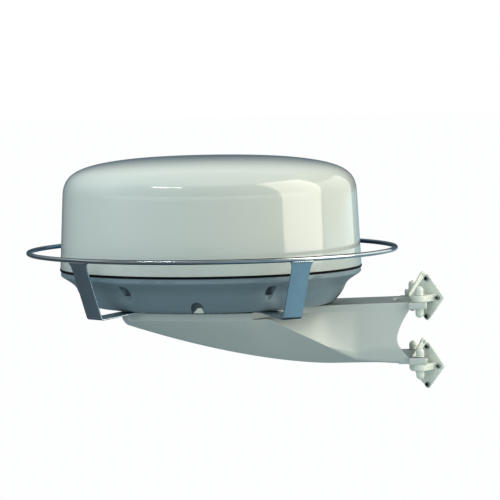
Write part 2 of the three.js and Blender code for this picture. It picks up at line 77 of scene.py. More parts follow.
DOME_RIM, DOME_SIDE, SHOULDER_Z = 310, 303, 147
CROWN_R, CROWN_Z, DOME_TOP = 192, 221, 229.7
COVER_WALL = 5
COVER_LOW = 2.3

TRAY_RIM, TRAY_FLOOR, TRAY_WALL, TRAY_TOP = 309, -75, 4, -2.3
RADOME_HEADING = -7
POCKET_R, POCKET_DEEP, POCKET_SHALLOW, POCKET_ROOF, SCREW_AT = 10, 281, 288, -17.5, 285
CAVE_R, CAVE_DEEP, CAVE_FLOOR = 8.5, 266, -40  # the deeper upper part of a pocket
POCKETS = [a + RADOME_HEADING for a in (-30.5, 30.5, 149.5, 210.5)]
NOTCH_R, NOTCH_AT, NOTCH_ROOF = 12.5, 256, -51
NOTCHES = [a + RADOME_HEADING for a in (0, 83, 180, 277)]

RING_R, RING_TUBE, RING_X, RING_Z = 377.5, 4.75, 3, 35.5
GUARD_HEADING = -9.2
LEGS = [a + GUARD_HEADING for a in (-35.8, 35.8, 144.2, 215.8)]
STRAP_HALF, STRAP_THICK, STRAP_INNER, STRAP_FOOT, BOLT_AT = 21, 3.4, 124, 334, 148
STRAP_BREAK, STRAP_DROP = 246, 6.5  # where a strap leaves the deck, and its fall to the bend

DECK_TOP, DECK_LIP, NOSE, NOSE_START, WIDEST, DECK_HALF = -79, 14, -184.5, -165, 40, 207
NOSE_HALF, NOSE_ROUND = 150, 20
FLARE_POWER, BELLY_POWER, TUCK = 2.2, 1.15, 30  # how full the flare, the underside and the fold are
FLARE_START, FLARE_END, FLARE_CORNER, ARM_HALF = 75, 235, 205, 81
ARM_END, ARM_RISE, RISE_FROM, SKIN = 404, 4.5, 150, 4
CHINE_BEND, CHINE_END, CHINE_HALF, CHINE_Z, TAIL_HALF, TAIL_Z = 110, 290, 88, -190, 85, -201.6
KEEL_TOP, KEEL_FALL, KEEL_LEVEL_X, KEEL_POWER, KEEL_ROUND, KEEL_LIFT = -114, 90.5, 250, 1.64, 12, 9

BOLT_HOLE, SCREW_HOLE, PORT_X = 5.3, 3.4, 140  # radome bolts, cover screws, the cable's way down

PIVOT_X, PIVOT_Y, BOLT_R, CAP_R, CAP_H = 422.6, 76.8, 4, 8.5, 19
LUG_LOW, LUG_HIGH, LUG_END, LUG_ROOT, TONGUE, LUG_THICK = 60.3, 93, 437, 398, 380, 13.2
FOOT_REACH, PLATE, PAD_HALF, PAD_TALL, EAR_R, EAR_THICK = 38, 4, 38.5, 50.5, 16.4, 13
PAD_SCREWS = ((0, 39), (0, -39), (25, 0), (-25, 0))
MAST_X, MAST_CLEAR = 470, 94
LEVELS = {"upper": (-74.5, -61.2), "lower": (-188, -201.5)}  # lug top, ear top


# ---- mesh tools --------------------------------------------------------------------------
def around(degrees, radius):
    """A point at an angle from the front (-Y) towards +X."""
    a = math.radians(degrees)
    return radius * math.sin(a), -radius * math.cos(a)


def turn(degrees, x=0.0, y=0.0, z=0.0):
    """Turns about the Z axis, then moves."""
    return Matrix.Translation((x, y, z)) @ Matrix.Rotation(math.radians(degrees), 4, "Z")


UPRIGHT = Matrix.Rotation(math.pi / 2, 4, "X")  # Y turned up to Z
ALONG_X = Matrix.Rotation(math.pi / 2, 4, "Z") @ UPRIGHT  # X, Y and Z turned to Y, Z and X


def arc(radius, start, end, steps, x=0.0, y=0.0):
    """Points along an arc, with its angles in radians from +X."""
    turns = [start + (end - start) * k / steps for k in range(steps + 1)]
    return [(x + radius * math.cos(a), y + radius * math.sin(a)) for a in turns]


def circle(radius, count):
    turns = [2 * math.pi * k / count for k in range(count)]
    return [(radius * math.cos(a), radius * math.sin(a)) for a in turns]


def rectangle(x0, y0, x1, y1):
    return [(x0, y0), (x1, y0), (x1, y1), (x0, y1)]


def bezier(points, steps):
    """Points after the first along a quadratic or cubic Bezier curve."""
    result = []
    for k in range(1, steps + 1):
        level = [Vector(p) for p in points]
        while len(level) > 1:
            level = [a.lerp(b, k / steps) for a, b in zip(level, level[1:])]
        result.append(tuple(level[0]))
    return result


def fillet(points, radii, steps=4, closed=True):
    """An outline with its corners rounded, always steps + 1 points to a corner."""
    result = []
    count = len(points)
    corners = range(count) if closed else range(1, count - 1)
    if not closed:
        result.append(tuple(points[0]))
    for k in corners:
        corner = Vector(points[k])
        before = Vector(points[k - 1]) - corner
        after = Vector(points[(k + 1) % count]) - corner
        radius = radii[k] if isinstance(radii, (list, tuple)) else radii
        half = max(0.05, before.angle(after, math.pi) / 2)
        reach = min(radius / math.tan(half), before.length * 0.45, after.length * 0.45)
        start = corner + before.normalized() * reach
        end = corner + after.normalized() * reach
        result.append(tuple(start))
        result += bezier([start, corner, end], steps)
    if not closed:
        result.append(tuple(points[-1]))
    return result


def bridge(bm, rings, closed):
    """Quads between rings of corners; a ring of one corner is a point on the axis."""
    for a, b in zip(rings, rings[1:]):
        count = max(len(a), len(b))
        for k in range(count if closed else count - 1):
            corners = [a[k % len(a)], a[(k + 1) % len(a)], b[(k + 1) % len(b)], b[k % len(b)]]
            unique = list(dict.fromkeys(corners))
            if len(unique) > 2:
                bm.faces.new(unique)


def revolve(profile, segments=ROUND, at=Matrix()):
    """A closed body turned about the Z axis from a closed (radius, height) outline."""
    bm = bmesh.new()
    spokes = [around(360 * k / segments, 1) for k in range(segments)]
    rings = []
    for r, z in profile:
        corners = [(r * x, r * y, z) for x, y in spokes] if r >= 1e-6 else [(0, 0, z)]
        rings.append([bm.verts.new(at @ Vector(corner)) for corner in corners])
    if len(rings[0]) > 1 or len(rings[-1]) > 1:
        rings.append(rings[0])
    bridge(bm, rings, True)
    return tidy(bm)


def prism(outline, low, high, at=Matrix()):
    """An outline in X and Y raised from low to high."""
    bm = bmesh.new()
    levels = [[bm.verts.new(at @ Vector((x, y, z))) for x, y in outline] for z in (low, high)]
    bridge(bm, levels, True)
    for level in levels:
        bm.faces.new(level)
    return tidy(bm)


def loft(sections):
    """A closed body through closed sections with the same number of corners."""
    bm = bmesh.new()
    rings = [[bm.verts.new(p) for p in section] for section in sections]
    bridge(bm, rings, True)
    bm.faces.new(rings[0])
    bm.faces.new(rings[-1])
    return tidy(bm)


def tidy(bm):
    bmesh.ops.remove_doubles(bm, verts=bm.verts, dist=1e-4)
    bmesh.ops.recalc_face_normals(bm, faces=bm.faces)
    return bm


def soften(bm, width, steps=2, degrees=40):
    """Rounds every edge sharper than an angle."""
    limit = math.radians(degrees)
    edges = [e for e in bm.edges if len(e.link_faces) == 2 and e.calc_face_angle(0) > limit]
    bmesh.ops.bevel(
        bm, geom=edges, offset=width, segments=steps, profile=0.5, affect="EDGES", clamp_overlap=True
    )
    return tidy(bm)


def rod(radius, low, high, segments=32, at=Matrix()):
    return revolve([(0, low), (radius, low), (radius, high), (0, high)], segments, at)


def box(low, high, width=0.0):
    """A box with its edges rounded to a width."""
    (x0, y0, z0), (x1, y1, z1) = low, high
    bm = prism(rectangle(x0, y0, x1, y1), z0, z1)
    return soften(bm, width) if width else bm


def moved(bm, at):
    bm.transform(at)
    return bm


def new_mesh(name, bm):
    mesh = bpy.data.meshes.new(name)
    bm.to_mesh(mesh)
    bm.free()
    return mesh


def new_object(name, data):
    obj = bpy.data.objects.new(name, data)
    bpy.context.scene.collection.objects.link(obj)
    return obj


def joined(*bodies):
    """Several bodies in one mesh, without joining their surfaces."""
    result = bodies[0]
    for bm in bodies[1:]:
        mesh = new_mesh("joined", bm)
        result.from_mesh(mesh)
        bpy.data.meshes.remove(mesh)
    return result


def boolean(body, tool, operation="DIFFERENCE"):
    """The body cut by, joined to or kept inside the tool."""
    pair = [new_object("boolean", new_mesh("boolean", bm)) for bm in (body, tool)]
    modifier = pair[0].modifiers.new("boolean", "BOOLEAN")
    modifier.operation = operation
    modifier.solver = "EXACT"
    modifier.object = pair[1]
    seen = pair[0].evaluated_get(bpy.context.evaluated_depsgraph_get())
    mesh = bpy.data.meshes.new_from_object(seen)
    result = bmesh.new()
    result.from_mesh(mesh)
    bpy.data.meshes.remove(mesh)
    for obj in pair:
        bpy.data.meshes.remove(obj.data)
    return tidy(result)


def add(body, *tools):
    """The body with each tool joined on in turn."""
    for tool in tools:
        body = boolean(body, tool, "UNION")
    return body


def extra(name, bm, body, slot, sharp=32):
    """A finished piece that rides on a body and stands for no CAD node."""
    bm.transform(Matrix.Translation(AXIS) @ Matrix.Scale(0.001, 4))
    mesh = new_mesh(name, bm)
    mesh.shade_smooth()
    mesh.set_sharp_from_angle(angle=math.radians(sharp))
    obj = new_object(name, mesh)
    mesh.materials.append(material_for(slot))
    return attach(obj, body)


def part(name, bm, node, sharp=32):
    """A finished piece in place of a CAD node: it takes that node's body and material slot."""
    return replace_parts(extra(name, bm, body_of[node], slot_of[node], sharp), node)


# ---- materials ---------------------------------------------------------------------------
class Nodes:
    """A node tree with short ways to make and join nodes."""

    def __init__(self, tree):
        self.tree = tree

    def node(self, kind, **inputs):
        made = self.tree.nodes.new(kind)
        for key, value in inputs.items():
            self.feed(made.inputs[key.replace("_", " ")], value)
        return made

    def feed(self, socket, value):
        if isinstance(value, bpy.types.NodeSocket):
            self.tree.links.new(value, socket)
        else:
            socket.default_value = value

    def spread(self, value, low, high, out_low=0.0, out_high=1.0):
        made = self.tree.nodes.new("ShaderNodeMapRange")
        keys = ("From Min", "From Max", "To Min", "To Max")
        for key, number in zip(keys, (low, high, out_low, out_high)):
            made.inputs[key].default_value = number
        self.feed(made.inputs["Value"], value)
        return made.outputs["Result"]

    def combine(self, kind, operation, a, b):
        """The outputs of a maths node with two inputs."""
        made = self.tree.nodes.new(kind)
        made.operation = operation
        self.feed(made.inputs[0], a)
        self.feed(made.inputs[1], b)
        return made.outputs

    def math(self, operation, a, b):
        return self.combine("ShaderNodeMath", operation, a, b)[0]

    def vector(self, operation, a, b):
        return self.combine("ShaderNodeVectorMath", operation, a, b)

    def mix(self, mask, a, b):
        """Colour a where the mask is 0 and colour b where it is 1."""
        made = self.tree.nodes.new("ShaderNodeMix")
        made.data_type = "RGBA"
        for socket, value in zip((0, 6, 7), (mask, a, b)):
            self.feed(made.inputs[socket], (*value, 1) if isinstance(value, tuple) else value)
        return made.outputs[2]

    def ramp(self, value, stops):
        """Colours at positions from 0 to 1."""
        made = self.node("ShaderNodeValToRGB", Fac=value)
        elements = made.color_ramp.elements
        while len(elements) < len(stops):
            elements.new(0.5)
        for element, (position, colour) in zip(elements, stops):
            element.position = position
            element.color = (*colour, 1)
        return made.outputs["Color"]


class Shader(Nodes):
    """A principled material whose colour, roughness and bump come from noise."""

    def __init__(self, name, colour, roughness, metallic=0.0):
        self.material = bpy.data.materials.new(name)
        self.material.use_nodes = True
        super().__init__(self.material.node_tree)
        self.surface = self.tree.nodes["Principled BSDF"]
        self.surface.inputs["Metallic"].default_value = metallic
        self.where = self.node("ShaderNodeTexCoord").outputs["Object"]
        self.colour = self.mix(0.0, colour, colour)
        self.roughness = roughness
        self.normal = None

    def noise(self, scale, detail=3.0, stretch=(1, 1, 1), rough=0.5):
        """Noise from 0 to 1; scale is in features to a metre."""
        place = self.node("ShaderNodeMapping", Vector=self.where, Scale=stretch)
        made = self.node(
            "ShaderNodeTexNoise", Vector=place.outputs[0], Scale=scale, Detail=detail, Roughness=rough
        )
        return made.outputs["Fac"]

    def tint(self, mask, colour):
        """Mixes another colour in where the mask is high."""
        self.colour = self.mix(mask, self.colour, colour)

    def mottle(self, scale, detail, low, high, most, colour):
        """Patches of another colour where noise rises from low to high."""
        self.tint(self.spread(self.noise(scale, detail), low, high, 0, most), colour)

    def vary(self, mask, low, high):
        """Roughness from low to high with the mask."""
        self.roughness = self.spread(mask, 0, 1, low, high)

    def bump(self, height, strength, distance):
        made = self.node("ShaderNodeBump", Height=height, Strength=strength, Distance=distance)
        if self.normal is not None:
            self.feed(made.inputs["Normal"], self.normal)
        self.normal = made.outputs[0]

    def edges(self, radius=0.0015):
        """High along edges, where a rounded normal departs from the true one."""
        soft = self.node("ShaderNodeBevel", Radius=radius).outputs[0]
        return self.spread(self.vector("DOT_PRODUCT", soft, self.true_normal())["Value"], 1.0, 0.75)

    def true_normal(self):
        return self.tree.nodes.new("ShaderNodeNewGeometry").outputs["Normal"]

    def upward(self):
        """How far the surface faces up, from -1 to 1."""
        return self.node("ShaderNodeSeparateXYZ", Vector=self.true_normal()).outputs["Z"]

    def outward(self):
        """How far the surface faces away from the radome's axis, times its distance in metres."""
        reach = self.vector("SUBTRACT", self.where, AXIS)["Vector"]
        return self.vector("DOT_PRODUCT", reach, self.true_normal())["Value"]

    def height(self):
        """Height above the seam, in metres."""
        split = self.node("ShaderNodeSeparateXYZ", Vector=self.where)
        return self.math("SUBTRACT", split.outputs["Z"], AXIS.z)

    def done(self, **inputs):
        self.feed(self.surface.inputs["Base Color"], self.colour)
        self.feed(self.surface.inputs["Roughness"], self.roughness)
        if self.normal is not None:
            self.feed(self.surface.inputs["Normal"], self.normal)
        for key, value in inputs.items():
            self.feed(self.surface.inputs[key.replace("_", " ")], value)
        return self.material


def gelcoat_white():
    """Polished gelcoat: a deep gloss with a slow ripple, faint yellowing and dust near the rim."""
    s = Shader("gelcoat_white", (0.53, 0.57, 0.535), 0.1)
    s.mottle(5, 4, 0.4, 0.75, 0.25, (0.52, 0.56, 0.47))
    rim = s.spread(s.height(), 0.03, 0.0)
    s.tint(s.math("MULTIPLY", rim, s.spread(s.noise(60, 5), 0.4, 0.8, 0, 0.5)), (0.45, 0.46, 0.42))
    s.vary(s.noise(25, 4), 0.05, 0.16)
    s.bump(s.noise(45, 1), 0.05, 0.0008)
    s.bump(s.noise(900, 2), 0.02, 0.0002)
    return s.done(Coat_Weight=0.6, Coat_Roughness=0.04, Specular_IOR_Level=0.55)


def base_grey():
    """Satin moulding with a fine spark texture and scuffs on its edges."""
    s = Shader("base_grey", (0.15, 0.215, 0.25), 0.35)
    s.mottle(9, 4, 0.4, 0.8, 0.5, (0.17, 0.225, 0.25))
    s.tint(s.math("MULTIPLY", s.edges(), s.spread(s.noise(70, 4), 0.35, 0.6, 0, 0.6)), (0.3, 0.34, 0.37))
    s.vary(s.noise(140, 4), 0.26, 0.42)
    s.bump(s.noise(1500, 2), 0.1, 0.0002)
    return s.done(Specular_IOR_Level=0.6)


def seal_black():
    s = Shader("seal_black", (0.003, 0.003, 0.0035), 0.85)
    s.mottle(90, 4, 0.5, 0.8, 0.4, (0.012, 0.012, 0.013))
    s.bump(s.noise(600, 3), 0.2, 0.0002)
    return s.done(Specular_IOR_Level=0.1)


def polished_stainless():
    """Mirror-polished steel with water marks; the ring's top and inner side are tinted dark as painted
    reflections of a dark room and of the dome's shade.
    """
    s = Shader("polished_stainless", (0.66, 0.69, 0.72), 0.06, 1.0)
    s.mottle(30, 5, 0.5, 0.85, 0.4, (0.5, 0.53, 0.56))
    on_ring = s.spread(s.height(), 0.027, 0.031)
    s.tint(s.math("MULTIPLY", on_ring, 0.2), (0.24, 0.25, 0.26))
    # painted reflection: a dark navy band along the top of the ring tube
    s.tint(s.spread(s.height(), 0.0376, 0.0388, 0, 0.97), (0.01, 0.03, 0.05))
    # painted reflection: the ring's side turned to the dome darkened navy, as if it mirrored the dome's
    # shade
    s.tint(s.math("MULTIPLY", on_ring, s.spread(s.outward(), 0.1, -0.05, 0, 0.97)), (0.01, 0.06, 0.12))
    s.vary(s.noise(45, 5), 0.03, 0.16)
    s.bump(s.noise(700, 2, (1, 1, 0.08)), 0.012, 0.0001)
    return s.done()


def fastener_steel():
    s = Shader("fastener_steel", (0.5, 0.51, 0.52), 0.25, 1.0)
    s.mottle(120, 4, 0.45, 0.8, 0.5, (0.3, 0.3, 0.3))
    s.vary(s.noise(300, 3), 0.18, 0.4)
    s.bump(s.noise(1200, 2), 0.08, 0.0001)
    return s.done()


def coat(name, colour, chip, orange_peel, top_shade=0.0):
    """Powder coat: orange-peel ripple, mottling, paler wear along edges, painted shade on level tops."""
    s = Shader(name, colour, 0.35)
    # painted shade: upward-facing tops darkened, standing in for the shadow that the radome and the mast
    # cast on them
    s.tint(s.spread(s.upward(), 0.9, 0.99, 0, top_shade), (0.07, 0.1, 0.11))
    s.mottle(14, 4, 0.4, 0.8, 0.35, tuple(c * 0.9 for c in colour))
    s.tint(s.math("MULTIPLY", s.edges(), s.spread(s.noise(90, 4), 0.4, 0.62, 0, 0.7)), chip)
    s.mottle(260, 5, 0.7, 0.78, 0.35, tuple(c * 0.7 for c in colour))
    s.vary(s.noise(80, 3), 0.28, 0.45)
    s.bump(s.noise(420, 2), orange_peel, 0.0004)
    return s.done(Coat_Weight=0.15, Coat_Roughness=0.2)


def bracket_coat():
    # a strong painted shade on the bracket's level tops
    return coat("bracket_coat", (0.52, 0.57, 0.55), (0.68, 0.71, 0.68), 0.12, top_shade=0.85)


def cap_white():
    return coat("cap_white", (0.72, 0.77, 0.7), (0.82, 0.84, 0.78), 0.1)


def socket_steel():
    """Dull zinc-plated heads, with painted shade down in their sockets."""
    s = Shader("socket_steel", (0.36, 0.4, 0.39), 0.35, 1.0)
    s.mottle(200, 3, 0.5, 0.8, 0.6, (0.24, 0.27, 0.26))
    # painted shade: colour darkened to near black where ambient occlusion finds the socket hollow
    socket_shade = s.node("ShaderNodeAmbientOcclusion", Distance=0.004)
    s.tint(s.spread(socket_shade.outputs["AO"], 0.8, 0.45), (0.01, 0.012, 0.014))
    s.vary(s.noise(400, 3), 0.25, 0.5)
    return s.done()


def cast_aluminium():
    """Sand-cast surface: coarse grain, mottled oxide and machined sheen on edges."""
    s = Shader("cast_aluminium", (0.4, 0.41, 0.42), 0.42, 1.0)
    s.mottle(25, 5, 0.4, 0.75, 0.5, (0.3, 0.31, 0.32))
    s.tint(s.math("MULTIPLY", s.edges(0.002), 0.5), (0.7, 0.71, 0.72))
    s.vary(s.noise(250, 4), 0.35, 0.6)
    s.bump(s.noise(1100, 4), 0.35, 0.0004)
    return s.done()


def bearing_steel():
    s = Shader("bearing_steel", (0.58, 0.59, 0.6), 0.15, 1.0)
    s.vary(s.noise(600, 3, (1, 1, 20)), 0.1, 0.3)
    s.bump(s.noise(900, 1, (1, 1, 14)), 0.06, 0.0001)
    return s.done()


def brass_plain():
    s = Shader("brass_plain", (0.62, 0.43, 0.16), 0.25, 1.0)
    s.mottle(120, 4, 0.5, 0.8, 0.6, (0.35, 0.24, 0.1))
    s.vary(s.noise(400, 3, (1, 1, 12)), 0.18, 0.4)
    return s.done()


def gear_nylon():
    s = Shader("gear_nylon", (0.66, 0.6, 0.44), 0.45)
    s.mottle(60, 3, 0.45, 0.8, 0.4, (0.58, 0.5, 0.33))
    s.vary(s.noise(300, 3), 0.38, 0.55)
    s.bump(s.noise(900, 2), 0.06, 0.0002)
    return s.done(Subsurface_Weight=0.08, Subsurface_Scale=0.004)


def radiator_cream():
    s = Shader("radiator_cream", (0.6, 0.57, 0.46), 0.5)
    s.mottle(20, 4, 0.4, 0.8, 0.4, (0.52, 0.48, 0.37))
    s.vary(s.noise(200, 3), 0.4, 0.6)
    s.bump(s.noise(1100, 2), 0.12, 0.0003)
    return s.done()


def motor_black():
    s = Shader("motor_black", (0.02, 0.021, 0.024), 0.35)
    s.tint(s.math("MULTIPLY", s.edges(), 0.5), (0.2, 0.2, 0.2))
    s.vary(s.noise(160, 4), 0.28, 0.45)
    s.bump(s.noise(700, 2), 0.1, 0.0002)
    return s.done()


def board_green():
    """Solder mask with a pale maze of copper runs under it."""
    s = Shader("board_green", (0.01, 0.11, 0.045), 0.3)
    cells = s.tree.nodes.new("ShaderNodeTexVoronoi")
    cells.feature = "DISTANCE_TO_EDGE"
    s.feed(cells.inputs["Vector"], s.where)
    cells.inputs["Scale"].default_value = 160
    s.tint(s.spread(cells.outputs["Distance"], 0.08, 0.03), (0.05, 0.26, 0.1))
    s.vary(s.noise(200, 2), 0.22, 0.36)
    return s.done()


def gland_black():
    s = Shader("gland_black", (0.018, 0.018, 0.02), 0.45)
    s.vary(s.noise(300, 3), 0.38, 0.55)
    s.bump(s.noise(1200, 2), 0.15, 0.0002)
    return s.done()


def cable_black():
    s = Shader("cable_black", (0.012, 0.012, 0.013), 0.5)
    s.mottle(60, 4, 0.5, 0.8, 0.5, (0.035, 0.035, 0.036))
    s.vary(s.noise(160, 4), 0.42, 0.62)
    s.bump(s.noise(500, 3), 0.15, 0.0003)
    return s.done()


FINISHES = (
    gelcoat_white, base_grey, seal_black, polished_stainless, fastener_steel, bracket_coat,
    cap_white, socket_steel, cast_aluminium, bearing_steel, brass_plain, gear_nylon,
    radiator_cream, motor_black, board_green, gland_black, cable_black,
)
made_materials = {}


def material_for(slot):
    if slot not in made_materials:
        made_materials[slot] = {f.__name__: f for f in FINISHES}[slot]()
    return made_materials[slot]


# ---- radome ------------------------------------------------------------------------------
def cover_profile(inset, low, fine):
    """The drafted side, full shoulder and crowned top, from the rim up to the axis."""
    side = DOME_SIDE - inset
    shoulder = [
        (side, SHOULDER_Z), (side - 1, SHOULDER_Z + 43 - inset),
        (side - 20, CROWN_Z - 12 - inset), (CROWN_R, CROWN_Z - inset),
    ]
    crown = [(CROWN_R, CROWN_Z - inset), (126, DOME_TOP - inset), (0, DOME_TOP - inset)]
    rise = [(DOME_RIM - inset, low), (side + 3.5, SHOULDER_Z / 2), (side, SHOULDER_Z)]
    return rise + bezier(shoulder, 24 * fine) + bezier(crown, 12 * fine)


def radome_shell():
    """One closed outline: rim, outside up to the axis, inside back down, with a lip at the rim."""
    outer = cover_profile(0, COVER_LOW, 1)
    inner = cover_profile(COVER_WALL, COVER_LOW, 1)
    inner_rim = (DOME_RIM - COVER_WALL, COVER_LOW)
    rim = fillet([inner_rim, (DOME_RIM, COVER_LOW), outer[1]], 1.0, 3, closed=False)
    bm = revolve(rim[:-1] + outer[1:] + inner[::-1][:-1])
    for angle in POCKETS:
        at = turn(angle)
        post = at @ Matrix.Translation((0, -SCREW_AT, 0))
        rib = moved(box((-5, -DOME_RIM + 4, COVER_LOW), (5, -SCREW_AT, 28)), at)
        bm = add(bm, add(rod(9, COVER_LOW, 28, 32, post), rib))
        bm = boolean(bm, rod(SCREW_HOLE, COVER_LOW - 1, 24, 16, post))
    return bm


def tray_side(inset, floor):
    """From the flat floor's edge up the heel, the steep wall and the concave flare to the lip."""
    flare = bezier([(TRAY_RIM - 1, -13), (295, -22), (280, -29), (276, -41)], 14)
    wall = bezier([(276, -41), (273, -49), (267, -58), (259, -67)], 8)
    heel = bezier([(259, -67), (252, TRAY_FLOOR), (238, TRAY_FLOOR)], 8)
    down = [(TRAY_RIM - 1, -13)] + flare + wall + heel
    return [(r - inset, max(z, floor)) for r, z in reversed(down)]


def slot(radius, deep):
    """A slot with round ends along a pocket's depth, in X and Y."""
    inner = arc(radius, 0, math.pi, 16, 0, -deep)
    return inner + arc(radius, math.pi, 2 * math.pi, 16, 0, -POCKET_SHALLOW)


def arch(radius, low, high):
    """A round-topped doorway in X and Y."""
    return [(-radius, low), (radius, low)] + arc(radius, 0, math.pi, 16, 0, high - radius)


def base_tray():
    floor = TRAY_FLOOR + TRAY_WALL
    lip = fillet([(TRAY_RIM, -11.4), (TRAY_RIM, TRAY_TOP), (292, TRAY_TOP)], 0.9, 3, closed=False)
    inner = [p for p in tray_side(TRAY_WALL + 1, floor) if p[1] > floor]
    outside = tray_side(0, TRAY_FLOOR)
    bm = revolve([(0, TRAY_FLOOR)] + outside + lip + inner[::-1] + [(inner[0][0] - 2, floor), (0, floor)])
    solid = [(0, TRAY_FLOOR)] + outside + [(TRAY_RIM, TRAY_TOP), (0, TRAY_TOP)]
    for angle in POCKETS:
        column = prism(slot(15, CAVE_DEEP + 4), -66, TRAY_TOP, turn(angle))
        bm = add(bm, boolean(column, revolve(solid), "INTERSECT"))
    for angle in NOTCHES:
        web = moved(box((-17, -275, floor - 1), (17, -231, NOTCH_ROOF + 8)), turn(angle))
        bm = add(bm, boolean(web, revolve(solid), "INTERSECT"))
    for x, y in bolt_places():
        bm = add(bm, rod(12, TRAY_FLOOR + 2, -58, 32, turn(0, x, y)))
        bm = boolean(bm, rod(BOLT_HOLE, TRAY_FLOOR - 1, -61, 24, turn(0, x, y)))
    for angle in POCKETS:
        bm = boolean(bm, prism(slot(POCKET_R, POCKET_DEEP), -100, POCKET_ROOF, turn(angle)))
        bm = boolean(bm, prism(slot(CAVE_R, CAVE_DEEP), CAVE_FLOOR, POCKET_ROOF, turn(angle)))
        screw = turn(angle) @ Matrix.Translation((0, -SCREW_AT, 0))
        bm = boolean(bm, rod(SCREW_HOLE, -50, TRAY_TOP + 1, 16, screw))
    for angle in NOTCHES:
        at = turn(angle) @ Matrix.Translation((0, -NOTCH_AT, 0)) @ UPRIGHT
        bm = boolean(bm, prism(arch(NOTCH_R, TRAY_FLOOR - 1, NOTCH_ROOF), -20, 20, at))
    return boolean(bm, rod(10.3, TRAY_FLOOR - 1, -60, 32, turn(0, PORT_X)))


def seam_gasket():
    bead = fillet(rectangle(294, -2.1, 311, 2.1), [0.3, 1.2, 1.2, 0.3], 4)
    return revolve(bead)


def cover_screw():
    """A flanged hexagon head under the pocket's roof and its shank up into the cover."""
    top = POCKET_ROOF - GAP
    head = soften(prism(circle(4.6, 6), top - 4, top - 1), 0.4)
    flange = soften(rod(5, top - 1.4, top), 0.3)
    return joined(head, flange, rod(3, top - 0.2, 20, 20))


def drain_plug():
    """A pale drain flap in a notch, a rounded wedge a little to one side, facing outwards along -Y."""
    front = [(-8.5, TRAY_FLOOR + 1), (12, TRAY_FLOOR + 1), (9, -63.5), (-0.5, -63.5)]
    outline = fillet(front, [1, 1, 3, 4], 5)
    at = UPRIGHT
    return soften(prism(outline, 239, 248, at), 1.5, 3, 50)


def bolt_places():
    places = [around(angle, BOLT_AT) for angle in LEGS]
    return [(x + RING_X, y) for x, y in places]


def radome_bolt():
    under = DECK_TOP - SKIN - GAP
    head = soften(prism(circle(8.6, 6), under - 6, under - 1.5), 0.7)
    washer = soften(rod(9, under - 1.8, under, 40), 0.4)
    return joined(head, washer, rod(5, under - 0.3, -62, 24))


# ---- guard -------------------------------------------------------------------------------
def guard_ring():
    steps, tube = 288, 24
    bm = bmesh.new()
    rings = []
    for k in range(steps):
        spoke = turn(360 * k / steps, RING_X, 0, RING_Z)
        section = circle(RING_TUBE, tube)
        rings.append([bm.verts.new(spoke @ Vector((RING_R + u, 0, v))) for u, v in section])
    bridge(bm, rings + [rings[0]], True)
    return tidy(bm)


def strap_path():
    """Centre line of a strap: along under the radome, round the bend and up to the ring."""
    top = (RING_R - 0.4, RING_Z - RING_TUBE - 0.3)
    mid = DECK_TOP + 2
    corners = [(STRAP_INNER, mid), (STRAP_BREAK, mid), (STRAP_FOOT, mid - STRAP_DROP), top]
    bent = fillet(corners, [0, 60, 7, 0], 8, closed=False)
    leg = [Vector(bent[-2]).lerp(Vector(top), k / 14) for k in range(1, 15)]
    return [Vector(p) for p in bent[:-1]] + leg


def guard_leg():
    """A flat strap lofted along its path, with rounded edges and a flared top for the weld."""
    path = strap_path()
    sections = []
    for k, point in enumerate(path):
        ahead = path[min(k + 1, len(path) - 1)] - path[max(k - 1, 0)]
        across = Vector((-ahead.y, ahead.x)).normalized()
        rise = max(0.0, (point.y - (RING_Z - 19)) / 14)
        half = STRAP_HALF + 4.5 * min(1.0, rise) ** 2
        thick = STRAP_THICK / 2
        outline = fillet(rectangle(-half, -thick, half, thick), 0.9, 2)
        sections.append([(x, -(point.x + across.x * t), point.y + across.y * t) for x, t in outline])
    strap = loft(sections)
    return boolean(strap, rod(BOLT_HOLE, DECK_TOP - 1, DECK_TOP + 5, 24, turn(0, 0, -BOLT_AT)))


def weld_bead(radius_off, z_off):
    """A rippled bead along the ring, over a strap's flared top."""
    bm = bmesh.new()
    rings = []
    steps = 60
    reach = (STRAP_HALF + 5) / RING_R
    for k in range(steps + 1):
        share = 2 * k / steps - 1
        thick = 1.9 * math.sqrt(max(0.02, 1 - share ** 4)) * (1 + 0.12 * math.sin(k * 1.3))
        angle = share * reach
        spoke = Matrix.Rotation(angle, 4, "Z")
        flat = [Vector((0, -(RING_R + radius_off + u), RING_Z + z_off + v)) for u, v in circle(thick, 10)]
        rings.append([bm.verts.new(spoke @ corner) for corner in flat])
    bridge(bm, rings, True)
    bm.faces.new(rings[0])
    bm.faces.new(rings[-1])
    return tidy(bm)


def weld():
    return joined(*[weld_bead(off, -RING_TUBE - 0.2) for off in (1.6, -2.6)])


# ---- bracket -----------------------------------------------------------------------------
def deck_half(x):
    if x < NOSE_START:
        into = (NOSE_START - x) / NOSE_ROUND
        return NOSE_HALF * math.sqrt(1 - into * into)
    if x <= FLARE_START:
        bow = (DECK_HALF - NOSE_HALF) / (NOSE_START - WIDEST) ** 2
        return DECK_HALF - bow * (x - WIDEST) ** 2
    along = min(1, (x - FLARE_START) / (FLARE_END - FLARE_START))
    return ARM_HALF + (FLARE_CORNER - ARM_HALF) * (1 - along) ** FLARE_POWER


def deck_top(x):
    return DECK_TOP + ARM_RISE * max(0, (x - RISE_FROM) / (ARM_END - RISE_FROM))


def keel_z(x):
    along = min(1, (x - NOSE) / (KEEL_LEVEL_X - NOSE))
    blunt = max(0, 1 - (x - NOSE) / KEEL_ROUND)
    return KEEL_TOP - KEEL_FALL * (1 - (1 - along) ** KEEL_POWER) + KEEL_LIFT * blunt ** 2


